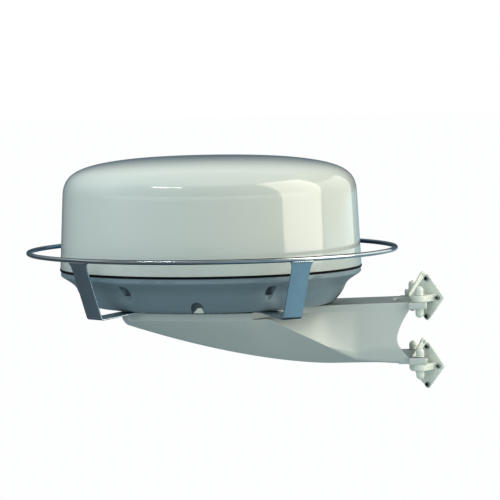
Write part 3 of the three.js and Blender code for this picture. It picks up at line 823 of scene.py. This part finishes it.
def chine_at(x):
    lip = deck_top(x) - DECK_LIP
    if x <= FLARE_START:
        return deck_half(x), lip - 0.5
    if x <= CHINE_END:
        t = (x - FLARE_START) / (CHINE_END - FLARE_START)
        down = max(0, (x - CHINE_BEND) / (CHINE_END - CHINE_BEND))
        return FLARE_CORNER + (CHINE_HALF - FLARE_CORNER) * t, lip - 0.5 + (CHINE_Z - lip + 0.5) * down
    t = (x - CHINE_END) / (ARM_END - CHINE_END)
    return CHINE_HALF + (TAIL_HALF - CHINE_HALF) * t, CHINE_Z + (TAIL_Z - CHINE_Z) * t


def hull_section(x, skin):
    """Deck edge, lip, chine and keel with rounded corners, mirrored in Y.

    level is 1 where the side between lip and chine lies flat and 0 where it stands.
    """
    top = deck_top(x) - skin
    edge, edge_z = chine_at(x)
    lip = deck_top(x) - DECK_LIP
    out = edge - deck_half(x)
    level = out / math.hypot(out, lip - edge_z)
    half = max(2, deck_half(x) - skin * 1.4)
    edge = max(2, edge - skin * (1.4 + 3.6 * level))
    edge_z = min(lip - 0.8, edge_z + skin * 0.5) - skin * level
    lip -= skin * level
    keel = keel_z(x) + skin * 1.2
    shares = [1 - k / 10 for k in range(11)]
    under = [(edge * u, keel + (edge_z - keel) * u ** BELLY_POWER) for u in shares]
    tuck = TUCK * min(1, max(0.02, (x - 230) / 110))
    fold = min(edge_z + tuck, lip - 0.3)
    corners = [(0, top), (half, top), (half, lip), (edge, fold), (edge - 0.3 * tuck, edge_z), under[2]]
    side = fillet(corners, [0, 2.4, 2.4, 4 + tuck, 4 + tuck / 2, 0], 4, closed=False)[1:]
    right = side[:-1] + under[2:]
    left = [(-y, z) for y, z in reversed(right[:-1])]
    return [(x, y, z) for y, z in right + left]


def hull(skin, start, end):
    stations = [NOSE_START - 19.5 * math.sin(math.pi / 2 * k / 8) for k in range(8, 0, -1)]
    stations += [NOSE_START + (FLARE_START - NOSE_START) * k / 20 for k in range(21)]
    stations += [FLARE_START + (ARM_END - FLARE_START) * k / 32 for k in range(1, 33)]
    inside = [x for x in stations if start < x < end]
    return loft([hull_section(x, skin) for x in [start] + inside + [end]])


def catmull(points, steps):
    """A smooth curve through points."""
    result = []
    for k in range(len(points) - 1):
        p = [Vector(points[max(0, min(len(points) - 1, k + j))]) for j in (-1, 0, 1, 2)]
        v0, v1 = (p[2] - p[0]) / 2, (p[3] - p[1]) / 2
        for step in range(steps):
            t = step / steps
            cubic = (2 * p[1] - 2 * p[2] + v0 + v1) * t ** 3
            square = (-3 * p[1] + 3 * p[2] - 2 * v0 - v1) * t ** 2
            result.append(tuple(cubic + square + v0 * t + p[1]))
    return result + [tuple(points[-1])]


def end_scoop():
    """The scooped end of the side plates, between the upper and lower lugs."""
    scoop = [(404, -86), (392, -105), (382, -124), (375.5, -146), (379, -163), (391, -179), (404, -193)]
    outline = catmull(scoop, 6) + [(430, -193), (430, -86)]
    return prism(outline, -120, 120, UPRIGHT)


def mast_scoop():
    """The deck and floor plates stop short of the mast between the lugs."""
    reach = math.asin(LUG_LOW / MAST_CLEAR)
    outline = arc(MAST_CLEAR, math.pi - reach, math.pi + reach, 32, MAST_X)
    return prism([(MAST_X, LUG_LOW)] + outline + [(MAST_X, -LUG_LOW)], -260, 0)


def lug(side, top):
    """A lug with rounded corners outside the arm's end, and a tongue back between the side plates."""
    corners = rectangle(LUG_ROOT, LUG_LOW, LUG_END, LUG_HIGH)
    ear = soften(prism(fillet(corners, [0.5, 5, 7, 3], 5), top - LUG_THICK, top), 0.9, 2, 60)
    tongue = box((TONGUE, LUG_LOW, top - LUG_THICK), (LUG_ROOT + 2, ARM_HALF - 2, top - 0.5))
    bm = add(ear, tongue)
    if side < 0:
        bmesh.ops.scale(bm, vec=(1, -1, 1), verts=bm.verts)
        bmesh.ops.recalc_face_normals(bm, faces=bm.faces)
    return bm


def bracket_body():
    bm = boolean(hull(0, NOSE, ARM_END), hull(SKIN, NOSE + 11, ARM_END + 10))
    bm = boolean(boolean(bm, end_scoop()), mast_scoop())
    for x, y in bolt_places():
        bm = boolean(bm, rod(BOLT_HOLE, -90, -70, 24, turn(0, x, y)))
    bm = boolean(bm, rod(17, -95, -70, 32, turn(0, PORT_X)))
    for lug_top, _ in LEVELS.values():
        for side in (-1, 1):
            bm = add(bm, lug(side, lug_top))
            hole = rod(BOLT_R + GAP, lug_top - 20, lug_top + 5, 24, turn(0, PIVOT_X, side * PIVOT_Y))
            bm = boolean(bm, hole)
    return bm


# ---- mast feet ---------------------------------------------------------------------------
def mast_foot():
    """Drawn with the pivot on the Z axis, the ear's middle at z = 0 and the pad out along +X."""
    face = FOOT_REACH - PLATE
    diamond = fillet([(PAD_HALF, 0), (0, PAD_TALL), (-PAD_HALF, 0), (0, -PAD_TALL)], 6, 6)
    pad = soften(prism(diamond, face, FOOT_REACH, ALONG_X), 0.9, 3)
    ear = arc(EAR_R, math.pi / 2, 1.5 * math.pi, 24)
    root = (face - 9, -EAR_R)
    flare = [root] + bezier([root, (face - 2, -EAR_R - 0.5), (face + 1.5, -EAR_R - 6)], 6)
    outline = ear + flare + [(x, -y) for x, y in reversed(flare)]
    block = soften(prism(outline, -EAR_THICK / 2, EAR_THICK / 2), 1.3, 3, 60)
    bm = add(pad, block)
    bm = boolean(bm, rod(BOLT_R + GAP, -20, 20, 32))
    for y, z in PAD_SCREWS:
        hole = rod(3.6, face - 5, FOOT_REACH + 5, 24, Matrix.Translation((0, y, z)) @ ALONG_X)
        bm = boolean(bm, hole)
    return bm


def pad_screw():
    """A socket head on the pad, along +X, its shank ending just inside the pad's back."""
    face = FOOT_REACH - PLATE - GAP
    head = revolve([(0, face - 4), (4.2, face - 4), (5, face - 3.2), (5, face), (0, face)], 32, ALONG_X)
    head = boolean(head, prism(circle(3.3, 6), face - 6, face - 1, ALONG_X))
    return joined(head, rod(3, face - 0.2, FOOT_REACH - GAP, 24, ALONG_X))


def cap_profile(bore):
    """A smooth round-ended cap with a small collar, from z = 0 up."""
    turns = [math.pi / 2 * k / 10 for k in range(11)]
    crown = [(CAP_R * math.cos(a), CAP_H - CAP_R * 1.1 * (1 - math.sin(a))) for a in turns]
    collar = [(CAP_R - 0.5, 0), (CAP_R + 0.2, 0.6), (CAP_R + 0.2, 1.8), (CAP_R - 0.3, 2.6)]
    return [(bore, 0)] + collar + crown


def pivot_bolt(top, bottom):
    cap = revolve(cap_profile(0), 40, Matrix.Translation((0, 0, top + GAP)))
    return joined(cap, rod(BOLT_R, bottom - 8, top + GAP + 0.1, 24))


def pivot_cap(bottom):
    flip = Matrix.Translation((0, 0, bottom - GAP)) @ Matrix.Rotation(math.pi, 4, "X")
    cap = revolve(cap_profile(0), 40, flip)
    return boolean(cap, rod(BOLT_R + GAP, bottom - 9, bottom + 1, 24))


# ---- inside ------------------------------------------------------------------------------
LOW = -70.7  # the inside of the base, on its floor
MOTOR_Y, MODULE, GEAR_TEETH, PINION_TEETH = 72, 2, 60, 12
RACE_R, RACE_Z, RACE_GAP, BALL_R, BALLS = 18.4, -7.5, 1.1, 3.2, 14
ARRAY_HALF, ARRAY_MID = 262, 83
CABLE = [(PORT_X, -104.6), (142, -125), (165, -143), (215, -148), (290, -146), (372, -132)]
CABLE_R = 5
CHIPS = ((-20, 145, 12, 4), (15, 170, 9, 6), (50, 150, 14, 3), (62, 178, 7, 12))  # x, y, half, height
BOARD_LOW, BOARD_HIGH = LOW + 8, LOW + 9.6


def pillar(points, radius, segments=64, at=Matrix()):
    """A turned body whose outline starts and ends on the axis, with its corners rounded."""
    return revolve(fillet(points, radius, 3, closed=False), segments, at)


def scanner_chassis():
    """A pedestal with the bearing seat, on a round foot with ribs and screws."""
    wall = [(110, LOW), (110, LOW + 6), (48, LOW + 6), (38, -40), (38, 0), (26, 0), (26, -15), (19, -15)]
    bm = revolve(fillet([(19, LOW)] + wall, [0.5, 2, 2, 9, 12, 1, 1, 0.3, 0.5], 4), 96)
    rib = [(36, LOW + 3), (102, LOW + 3), (96, LOW + 9), (36, -22)]
    for angle in range(150, 391, 40):
        bm = add(bm, prism(rib, -2.2, 2.2, turn(angle) @ UPRIGHT))
    for angle in range(170, 371, 40):
        head = boolean(rod(5, LOW + 5, LOW + 10), prism(circle(2.9, 6), LOW + 8, LOW + 12))
        bm = add(bm, moved(head, turn(angle) @ turn(0, 100)))
    return bm


def bearing_race(wall):
    """A race with its plain side at a radius and a groove for the balls on the other side."""
    side = 1 if wall > RACE_R else -1
    groove_r = BALL_R + 0.2
    reach = math.acos(RACE_GAP / groove_r)
    turns = [reach * (1 - k / 6) for k in range(13)]
    groove = [(RACE_R + side * groove_r * math.cos(a), RACE_Z + groove_r * math.sin(a)) for a in turns]
    face = RACE_R + side * RACE_GAP
    outline = [(wall, -14.7), (wall, -0.3), (face, -0.3)] + groove + [(face, -14.7)]
    return revolve(fillet(outline, [0.6] * 3 + [0] * len(groove) + [0.6], 3), 96)


def bearing_balls():
    bm = bmesh.new()
    for k in range(BALLS):
        at = turn(360 * k / BALLS) @ Matrix.Translation((RACE_R, 0, RACE_Z))
        bmesh.ops.create_uvsphere(bm, u_segments=24, v_segments=16, radius=BALL_R, matrix=at)
    return bm


def cogged(count, tooth, start=0.0):
    """An outline of equal teeth, each a run of (share of its step, radius)."""
    outline = []
    for k in range(count):
        for share, r in tooth:
            a = start + 2 * math.pi / count * (k + share)
            outline.append((r * math.cos(a), r * math.sin(a)))
    return outline


def gear_outline(teeth, start=0.0):
    """Straight-flanked teeth with eased roots, in X and Y."""
    rises = [(-0.36, -2.4), (-0.28, -0.9), (-0.21, 0.3), (-0.12, 1.7)]
    flank = [(share, MODULE * teeth / 2 + rise) for share, rise in rises]
    tooth = flank + [(-share, r) for share, r in reversed(flank)]
    return cogged(teeth, tooth, math.radians(start))


def main_gear():
    """A gear with a thin web and six lightening holes."""
    bm = prism(gear_outline(GEAR_TEETH), 5.5, 14.5)
    for low, high in ((4, 8), (12, 16)):
        bm = boolean(bm, revolve(fillet(rectangle(20, low, 51, high), 1.2, 3), 96))
    for k in range(6):
        bm = boolean(bm, rod(9.5, 4, 16, 40, turn(60 * k) @ Matrix.Translation((35.5, 0, 0))))
    return boolean(bm, rod(12.3, 4, 16, 48))


def motor_pinion():
    bm = prism(gear_outline(PINION_TEETH, -75), 5, 15)
    bm = boolean(bm, revolve(fillet(rectangle(4.5, 13, 8, 16), 0.5, 3), 48))
    return add(bm, rod(3, -12, 14))


def drive_motor():
    """A ribbed can under a stepped nose with three screws."""
    nose = [(20.6, -16), (18, -13), (18, -6), (10, -6), (10, -2), (0, -2)]
    bm = pillar([(0, -64.4), (20.6, -64.4)] + nose, [0, 2.5, 1, 1, 1.2, 1.5, 0.8, 0])
    ribs = prism(cogged(20, [(-0.3, 20.3), (-0.2, 22), (0.2, 22), (0.3, 20.3)]), -59, -21)
    bm = add(bm, soften(ribs, 0.4, 1))
    for k in range(3):
        bm = add(bm, prism(circle(2.6, 6), -6.5, -3.6, turn(120 * k, *around(120 * k, 14))))
    return boolean(bm, rod(3.4, -14, 0, 24))


def antenna_spindle():
    """A hollow spindle with a circlip groove and a screwed flange."""
    groove = [(12, -20), (11, -20), (11, -18.5), (12, -18.5)]
    outline = [(5.5, -45), (12, -45)] + groove + [(12, 33), (32, 33), (32, 38), (5.5, 38)]
    bm = revolve(fillet(outline, [0.5, 1, 0, 0, 0, 0, 3, 1, 1, 0.5], 4), 96)
    for k in range(6):
        bm = add(bm, prism(circle(3.4, 6), 30.4, 33.5, turn(60 * k, *around(60 * k, 25))))
    return bm


def rotary_joint_stem():
    """A flanged stem with slip rings near its top."""
    foot = [(0, LOW), (17, LOW), (17, LOW + 8), (4.6, LOW + 14), (4.6, 0)]
    bands = [(r, z + 4 * k) for k in range(6) for r, z in ((4.6, 3), (3.9, 3.4), (3.9, 5.6), (4.6, 6))]
    return revolve(fillet(foot, [0, 1, 1.5, 3, 0], 3, closed=False) + bands + [(4.6, 30), (0, 30)], 48)


def array_beam():
    """A channel with rounded corners and lightening holes behind, on a round foot."""
    low, high = 2 * ARRAY_MID - 122, 122
    outer = fillet(rectangle(-10, low, 22, high), 3.5, 4)
    inner = fillet(rectangle(-7, low + 3, 19, high - 3), 2, 4)
    bm = prism(outer, -ARRAY_HALF, ARRAY_HALF, ALONG_X)
    bm = boolean(bm, prism(inner, -ARRAY_HALF - 1, ARRAY_HALF + 1, ALONG_X))
    for x in range(-225, 226, 50):
        at = Matrix.Translation((x, 0, ARRAY_MID)) @ UPRIGHT
        bm = boolean(bm, prism(fillet(rectangle(-17, -20, 17, 20), 10, 5), -30, -15, at))
    return add(bm, pillar([(0, 38.3), (32, 38.3), (32, 45), (0, 45)], 1.5))


def array_radiator():
    """A slotted waveguide between two flared cheeks."""
    half = [(-10.3, 52), (-38, 44), (-38, 48), (-16.3, 60), (-16.3, 70), (-28.3, 70)]
    outline = half + [(y, 2 * ARRAY_MID - z) for y, z in reversed(half)]
    bm = prism(fillet(outline, 1, 2), -ARRAY_HALF, ARRAY_HALF, ALONG_X)
    cuts = []
    for k in range(37):
        lean = Matrix.Rotation(math.radians(18 if k % 2 else -18), 4, "Y")
        at = Matrix.Translation(((k - 18) * 13.5, 0, ARRAY_MID)) @ lean
        cuts.append(moved(box((-1.3, -30, -9), (1.3, -26.3, 9)), at))
    return boolean(bm, joined(*cuts))


def transceiver_box():
    """A die-cast case with a lid line, tapered fins, corner screws and a connector."""
    high = LOW + 44
    bm = box((-220, -68, LOW), (-124, 68, high), 4)
    around_case = box((-225, -73, high - 11), (-119, 73, high - 9.8))
    bm = boolean(bm, boolean(around_case, box((-219, -67, high - 15), (-125, 67, high))))
    flank = [(-1.7, high - 2), (1.7, high - 2), (1, high + 12), (-1, high + 12)]
    fins = [prism([(12 * k + y, z) for y, z in flank], -216, -128, ALONG_X) for k in range(-5, 6)]
    bm = add(bm, joined(*fins))
    for x in (-213, -131):
        for y in (-63.5, 63.5):
            bm = add(bm, rod(2.6, high - 1, high + 2, 20, turn(0, x, y)))
    plug = [(0, -126), (8, -126), (8, -121), (6, -121), (6, -114), (0, -114)]
    return add(bm, pillar(plug, 0.6, 32, Matrix.Translation((0, 30, LOW + 18)) @ ALONG_X))


def circuit_board():
    """A board with rounded corners on four standoffs."""
    bm = prism(fillet(rectangle(-42, 128, 84, 192), 3, 4), BOARD_LOW, BOARD_HIGH)
    for x in (-36, 78):
        for y in (134, 186):
            bm = add(bm, rod(3, LOW, BOARD_HIGH + 1.2, 24, turn(0, x, y)))
    return bm


def chip_bodies():
    low = BOARD_HIGH + 0.3
    return joined(*[box((x - h, y - h, low), (x + h, y + h, low + tall), 0.7) for x, y, h, tall in CHIPS])


def chip_pins():
    pins = []
    for x, y, half, _ in CHIPS:
        for side in (-1, 1):
            for k in range(-3, 4):
                at = turn(0, x + side * (half + 0.9), y + k * half / 4, BOARD_HIGH)
                pins.append(moved(box((-1.2, -0.5, 0), (1.2, 0.5, 1)), at))
    return joined(*pins)


def cable_gland():
    """A domed nut on a hexagon body outside the base, a ribbed neck and a lock nut inside."""
    dome = pillar([(0, -104), (8, -104), (13, -97), (13, -91), (0, -91)], [0, 2, 3, 0.5, 0])
    bm = add(dome, soften(prism(circle(15, 6), -92, -79), 1))
    bm = add(bm, pillar([(0, -80), (14.5, -80), (14.5, -75.3), (0, -75.3)], 0.8))
    ribs = [(9.9 - 0.6 * (k % 2), -76 + k) for k in range(15)]
    bm = add(bm, revolve([(0, -76)] + ribs + [(0, -62)], 48))
    return moved(add(bm, soften(prism(circle(13.5, 6), LOW, LOW + 5), 0.8)), turn(0, PORT_X))


def signal_cable():
    """A round cable from the gland down and along the arm."""
    path = [Vector(p) for p in catmull(CABLE, 8)]
    sections = []
    for k, point in enumerate(path):
        ahead = (path[min(k + 1, len(path) - 1)] - path[max(k - 1, 0)]).normalized()
        ring = circle(CABLE_R, 20)
        sections.append([(point.x - ahead.y * u, v, point.y + ahead.x * u) for u, v in ring])
    return loft(sections)


def build_inside():
    part("pedestal_casting", scanner_chassis(), "scanner_chassis")
    part("race_outer", bearing_race(25.7), "bearing_outer_race")
    part("race_inner", bearing_race(12.3), "bearing_inner_race")
    extra("bearing_balls", bearing_balls(), "base", "bearing_steel")
    part("gear_wheel", main_gear(), "main_gear")
    part("pinion_wheel", moved(motor_pinion(), turn(0, 0, MOTOR_Y)), "motor_pinion")
    part("motor_can", moved(drive_motor(), turn(0, 0, MOTOR_Y)), "drive_motor")
    part("spindle_turned", antenna_spindle(), "antenna_spindle")
    part("stem_turned", rotary_joint_stem(), "rotary_joint_stem")
    part("array_channel", array_beam(), "array_beam")
    part("array_waveguide", array_radiator(), "array_radiator")
    part("transceiver_case", transceiver_box(), "transceiver_box")
    part("board_plate", circuit_board(), "circuit_board")
    extra("board_chips", chip_bodies(), "base", "motor_black")
    extra("board_pins", chip_pins(), "base", "bearing_steel")
    part("gland_nuts", cable_gland(), "cable_gland")
    part("cable_run", signal_cable(), "signal_cable")


# ---- pieces ------------------------------------------------------------------------------
def build_radome():
    part("cover_shell", radome_shell(), "radome_cover")
    part("tray_shell", base_tray(), "base_tray")
    part("seam_bead", seam_gasket(), "seam_gasket")
    for name, pocket, (x, y) in zip(NAMES, POCKETS, bolt_places()):
        at = turn(pocket + 15, *around(pocket, SCREW_AT))
        part(f"cover_screw_fine_{name}", moved(cover_screw(), at), f"cover_screw_{name}")
        part(f"radome_bolt_fine_{name}", moved(radome_bolt(), turn(pocket, x, y)), f"radome_bolt_{name}")
    for k, angle in enumerate(NOTCHES):
        extra(f"drain_plug_{k + 1}", moved(drain_plug(), turn(angle)), "base", "cap_white")


def build_guard():
    part("ring_tube", guard_ring(), "guard_ring")
    for name, angle in zip(NAMES, LEGS):
        at = turn(angle, RING_X)
        part(f"strap_{name}", moved(guard_leg(), at), f"guard_leg_{name}")
        extra(f"weld_{name}", moved(weld(), at), "base", "polished_stainless")


def build_bracket():
    part("bracket_shell", bracket_body(), "bracket_body", sharp=28)


def build_feet():
    for level, (lug_top, ear_top) in LEVELS.items():
        middle = ear_top - EAR_THICK / 2
        top = max(lug_top, ear_top)
        bottom = min(lug_top - LUG_THICK, ear_top - EAR_THICK)
        for side, sign in (("near", -1), ("far", 1)):
            heading = math.degrees(math.atan2(-sign * PIVOT_Y, MAST_X - PIVOT_X))
            at = turn(heading, PIVOT_X, sign * PIVOT_Y, middle)
            end = f"{level}_{side}"
            part(f"foot_{end}", moved(mast_foot(), at), f"mast_foot_{end}")
            for k, (y, z) in enumerate(PAD_SCREWS):
                screw = moved(pad_screw(), at @ Matrix.Translation((0, y, z)))
                part(f"pad_screw_{end}_{k + 1}", screw, f"foot_screw_{end}_{k + 1}")
            post = turn(0, PIVOT_X, sign * PIVOT_Y)
            part(f"pivot_pin_{end}", moved(pivot_bolt(top, bottom), post), f"pivot_bolt_{end}")
            part(f"pivot_nut_{end}", moved(pivot_cap(bottom), post), f"pivot_cap_{end}")


def finish_cad_nodes():
    for name, obj in frame["nodes"].items():
        if not obj.hide_render:
            obj.data.materials.clear()
            obj.data.materials.append(material_for(slot_of[name]))


# ---- stage -------------------------------------------------------------------------------
FLOOR_SEEN = (0.985, 0.99, 0.99)
FLOOR_LEFT, FLOOR_RIGHT = (0.36, 0.43, 0.46), (0.62, 0.72, 0.7)
SHADOW, PALE = (0.02, 0.03, 0.04), (1.1, 1.03, 0.93)
NAVY, HORIZON, CEILING = (0.012, 0.045, 0.085), (0.06, 0.1, 0.14), (1.2, 1.28, 1.23)
FILL_LOW, FILL_HIGH = (0.3, 0.33, 0.34), (0.2, 0.22, 0.22)
# Colours by position, 0 to 1: the floor from left to right, then the room from below to above.
MIRRORED_FLOOR = ((0.0, (0.07, 0.09, 0.1)), (0.45, (0.1, 0.15, 0.19)), (0.75, (0.2, 0.37, 0.46)))
ROOM_BEHIND = (
    (0.5, HORIZON), (0.54, HORIZON), (0.62, (0.26, 0.31, 0.33)), (0.7, (0.6, 0.66, 0.64)),
    (0.86, CEILING),
)
ROOM_BEFORE = (
    (0.49, (0.3, 0.31, 0.31)), (0.53, (0.5, 0.49, 0.45)), (0.55, PALE), (0.58, PALE),
    (0.61, NAVY), (0.88, (0.2, 0.24, 0.25)), (0.905, CEILING),
)


def bare(owner):
    """The owner's node tree, emptied."""
    owner.use_nodes = True
    owner.node_tree.nodes.clear()
    return Nodes(owner.node_tree)


def floor():
    """A plain pale floor, white to the camera and softer in what it throws back up."""
    bm = bmesh.new()
    bmesh.ops.create_circle(bm, cap_ends=True, segments=96, radius=60)
    mesh = new_mesh("floor", bm)
    obj = new_object("floor", mesh)
    obj.location = (0, 0, -0.3)
    mesh.materials.append(stage_material())


def stage_material():
    """White to the camera; the object sees a softer floor, darker on the left than on the right."""
    made = bpy.data.materials.new("pale_floor")
    n = bare(made)
    where = n.node("ShaderNodeSeparateXYZ", Vector=n.node("ShaderNodeTexCoord").outputs["Object"])
    across = n.spread(where.outputs["X"], -1.6, 1.4)
    mirrored = n.ramp(across, MIRRORED_FLOOR)
    away = n.node("ShaderNodeVectorMath", Vector=n.node("ShaderNodeTexCoord").outputs["Object"])
    away.operation = "LENGTH"
    # painted contact shadow: the glowing floor darkens near the object in what shiny surfaces see of it
    shadow = n.spread(away.outputs["Value"], 0.75, 0.45)
    mirrored = n.mix(shadow, mirrored, SHADOW)
    matt = n.mix(across, FLOOR_LEFT, FLOOR_RIGHT)
    path = n.node("ShaderNodeLightPath").outputs
    thrown = n.mix(path["Is Glossy Ray"], matt, mirrored)
    seen = n.mix(path["Is Camera Ray"], thrown, FLOOR_SEEN)
    glow = n.node("ShaderNodeEmission", Color=seen)
    n.node("ShaderNodeOutputMaterial", Surface=glow.outputs[0])
    return made


def world():
    """White to the camera, a mild fill to matt surfaces, a dark room and bright ceiling to shiny ones."""
    made = bpy.data.worlds.new("studio")
    bpy.context.scene.world = made
    n = bare(made)
    where = n.node("ShaderNodeSeparateXYZ", Vector=n.node("ShaderNodeTexCoord").outputs["Generated"])
    rise = n.spread(where.outputs["Z"], -1, 1)
    front = n.spread(where.outputs["Y"], 0.1, -0.3)
    behind = n.ramp(rise, ROOM_BEHIND)
    before = n.ramp(rise, ROOM_BEFORE)
    fill = n.mix(rise, FILL_LOW, FILL_HIGH)
    path = n.node("ShaderNodeLightPath").outputs
    room = n.mix(path["Is Glossy Ray"], fill, n.mix(front, behind, before))
    seen = n.mix(path["Is Camera Ray"], room, (1.0, 1.0, 1.0))
    light = n.node("ShaderNodeBackground", Color=seen)
    n.node("ShaderNodeOutputWorld", Surface=light.outputs[0])


def softbox(name, azimuth, elevation, distance, size, glow, shiny=True, matt=True):
    """An area light aimed at the radome; azimuth runs from the front towards the mast."""
    light = bpy.data.lights.new(name, "AREA")
    light.shape = "RECTANGLE"
    light.size, light.size_y = size
    light.color = glow
    light.energy = math.pi * size[0] * size[1]
    obj = new_object(name, light)
    obj.visible_glossy, obj.visible_diffuse = shiny, matt
    a, e = math.radians(azimuth), math.radians(elevation)
    away = Vector((math.sin(a) * math.cos(e), -math.cos(a) * math.cos(e), math.sin(e)))
    obj.location = AXIS + Vector((0, 0, 0.1)) + away * distance
    obj.rotation_mode = "QUATERNION"
    obj.rotation_quaternion = away.to_track_quat("Z", "Y")


def lights():
    softbox("key", 73.5, 23.0, 4.0, (2.9, 4.6), (3.4, 3.15, 2.65))
    softbox("edge", 117, 12, 4.0, (3.5, 2.6), (0.95, 0.95, 0.85))
    softbox("spark", -40, 42, 4.0, (1.5, 0.05), (60, 62, 60))
    softbox("overhead", 0, 48, 4.5, (7.0, 2.3), (0.62, 0.66, 0.64), shiny=False)
    softbox("front", -24, 8, 5.0, (3.2, 3.0), (1.7, 1.9, 2.0), shiny=False)
    softbox("left", -82, 34, 4.5, (3.6, 2.6), (3.3, 3.75, 3.95), shiny=False)


# ---- camera ------------------------------------------------------------------------------
CAMERA_AT = (-61.7, -5300.0, 384.0)  # mm, from the radome's axis and seam
CAMERA_YAW, CAMERA_PITCH, CAMERA_ROLL = 1.54, 3.79, -0.93  # degrees
LENS, SENSOR = 185.5, 36.0


def camera():
    yaw, pitch, roll = (math.radians(a) for a in (CAMERA_YAW, CAMERA_PITCH, CAMERA_ROLL))
    ahead = Vector((math.sin(yaw) * math.cos(pitch), math.cos(yaw) * math.cos(pitch), -math.sin(pitch)))
    level = Vector((math.cos(yaw), -math.sin(yaw), 0))
    upward = level.cross(ahead)
    right = level * math.cos(roll) + upward * math.sin(roll)
    up = upward * math.cos(roll) - level * math.sin(roll)
    turned = Matrix((right, up, -ahead)).transposed().to_4x4()
    data = bpy.data.cameras.new("camera")
    data.lens, data.sensor_width = LENS, SENSOR
    data.clip_start, data.clip_end = 0.1, 200
    obj = new_object("camera", data)
    obj.matrix_world = Matrix.Translation(AXIS + Vector(CAMERA_AT) / 1000) @ turned
    bpy.context.scene.camera = obj


build_radome()
build_guard()
build_bracket()
build_feet()
build_inside()
finish_cad_nodes()
floor()
world()
lights()
camera()
bpy.context.scene.view_settings.view_transform = "Standard"
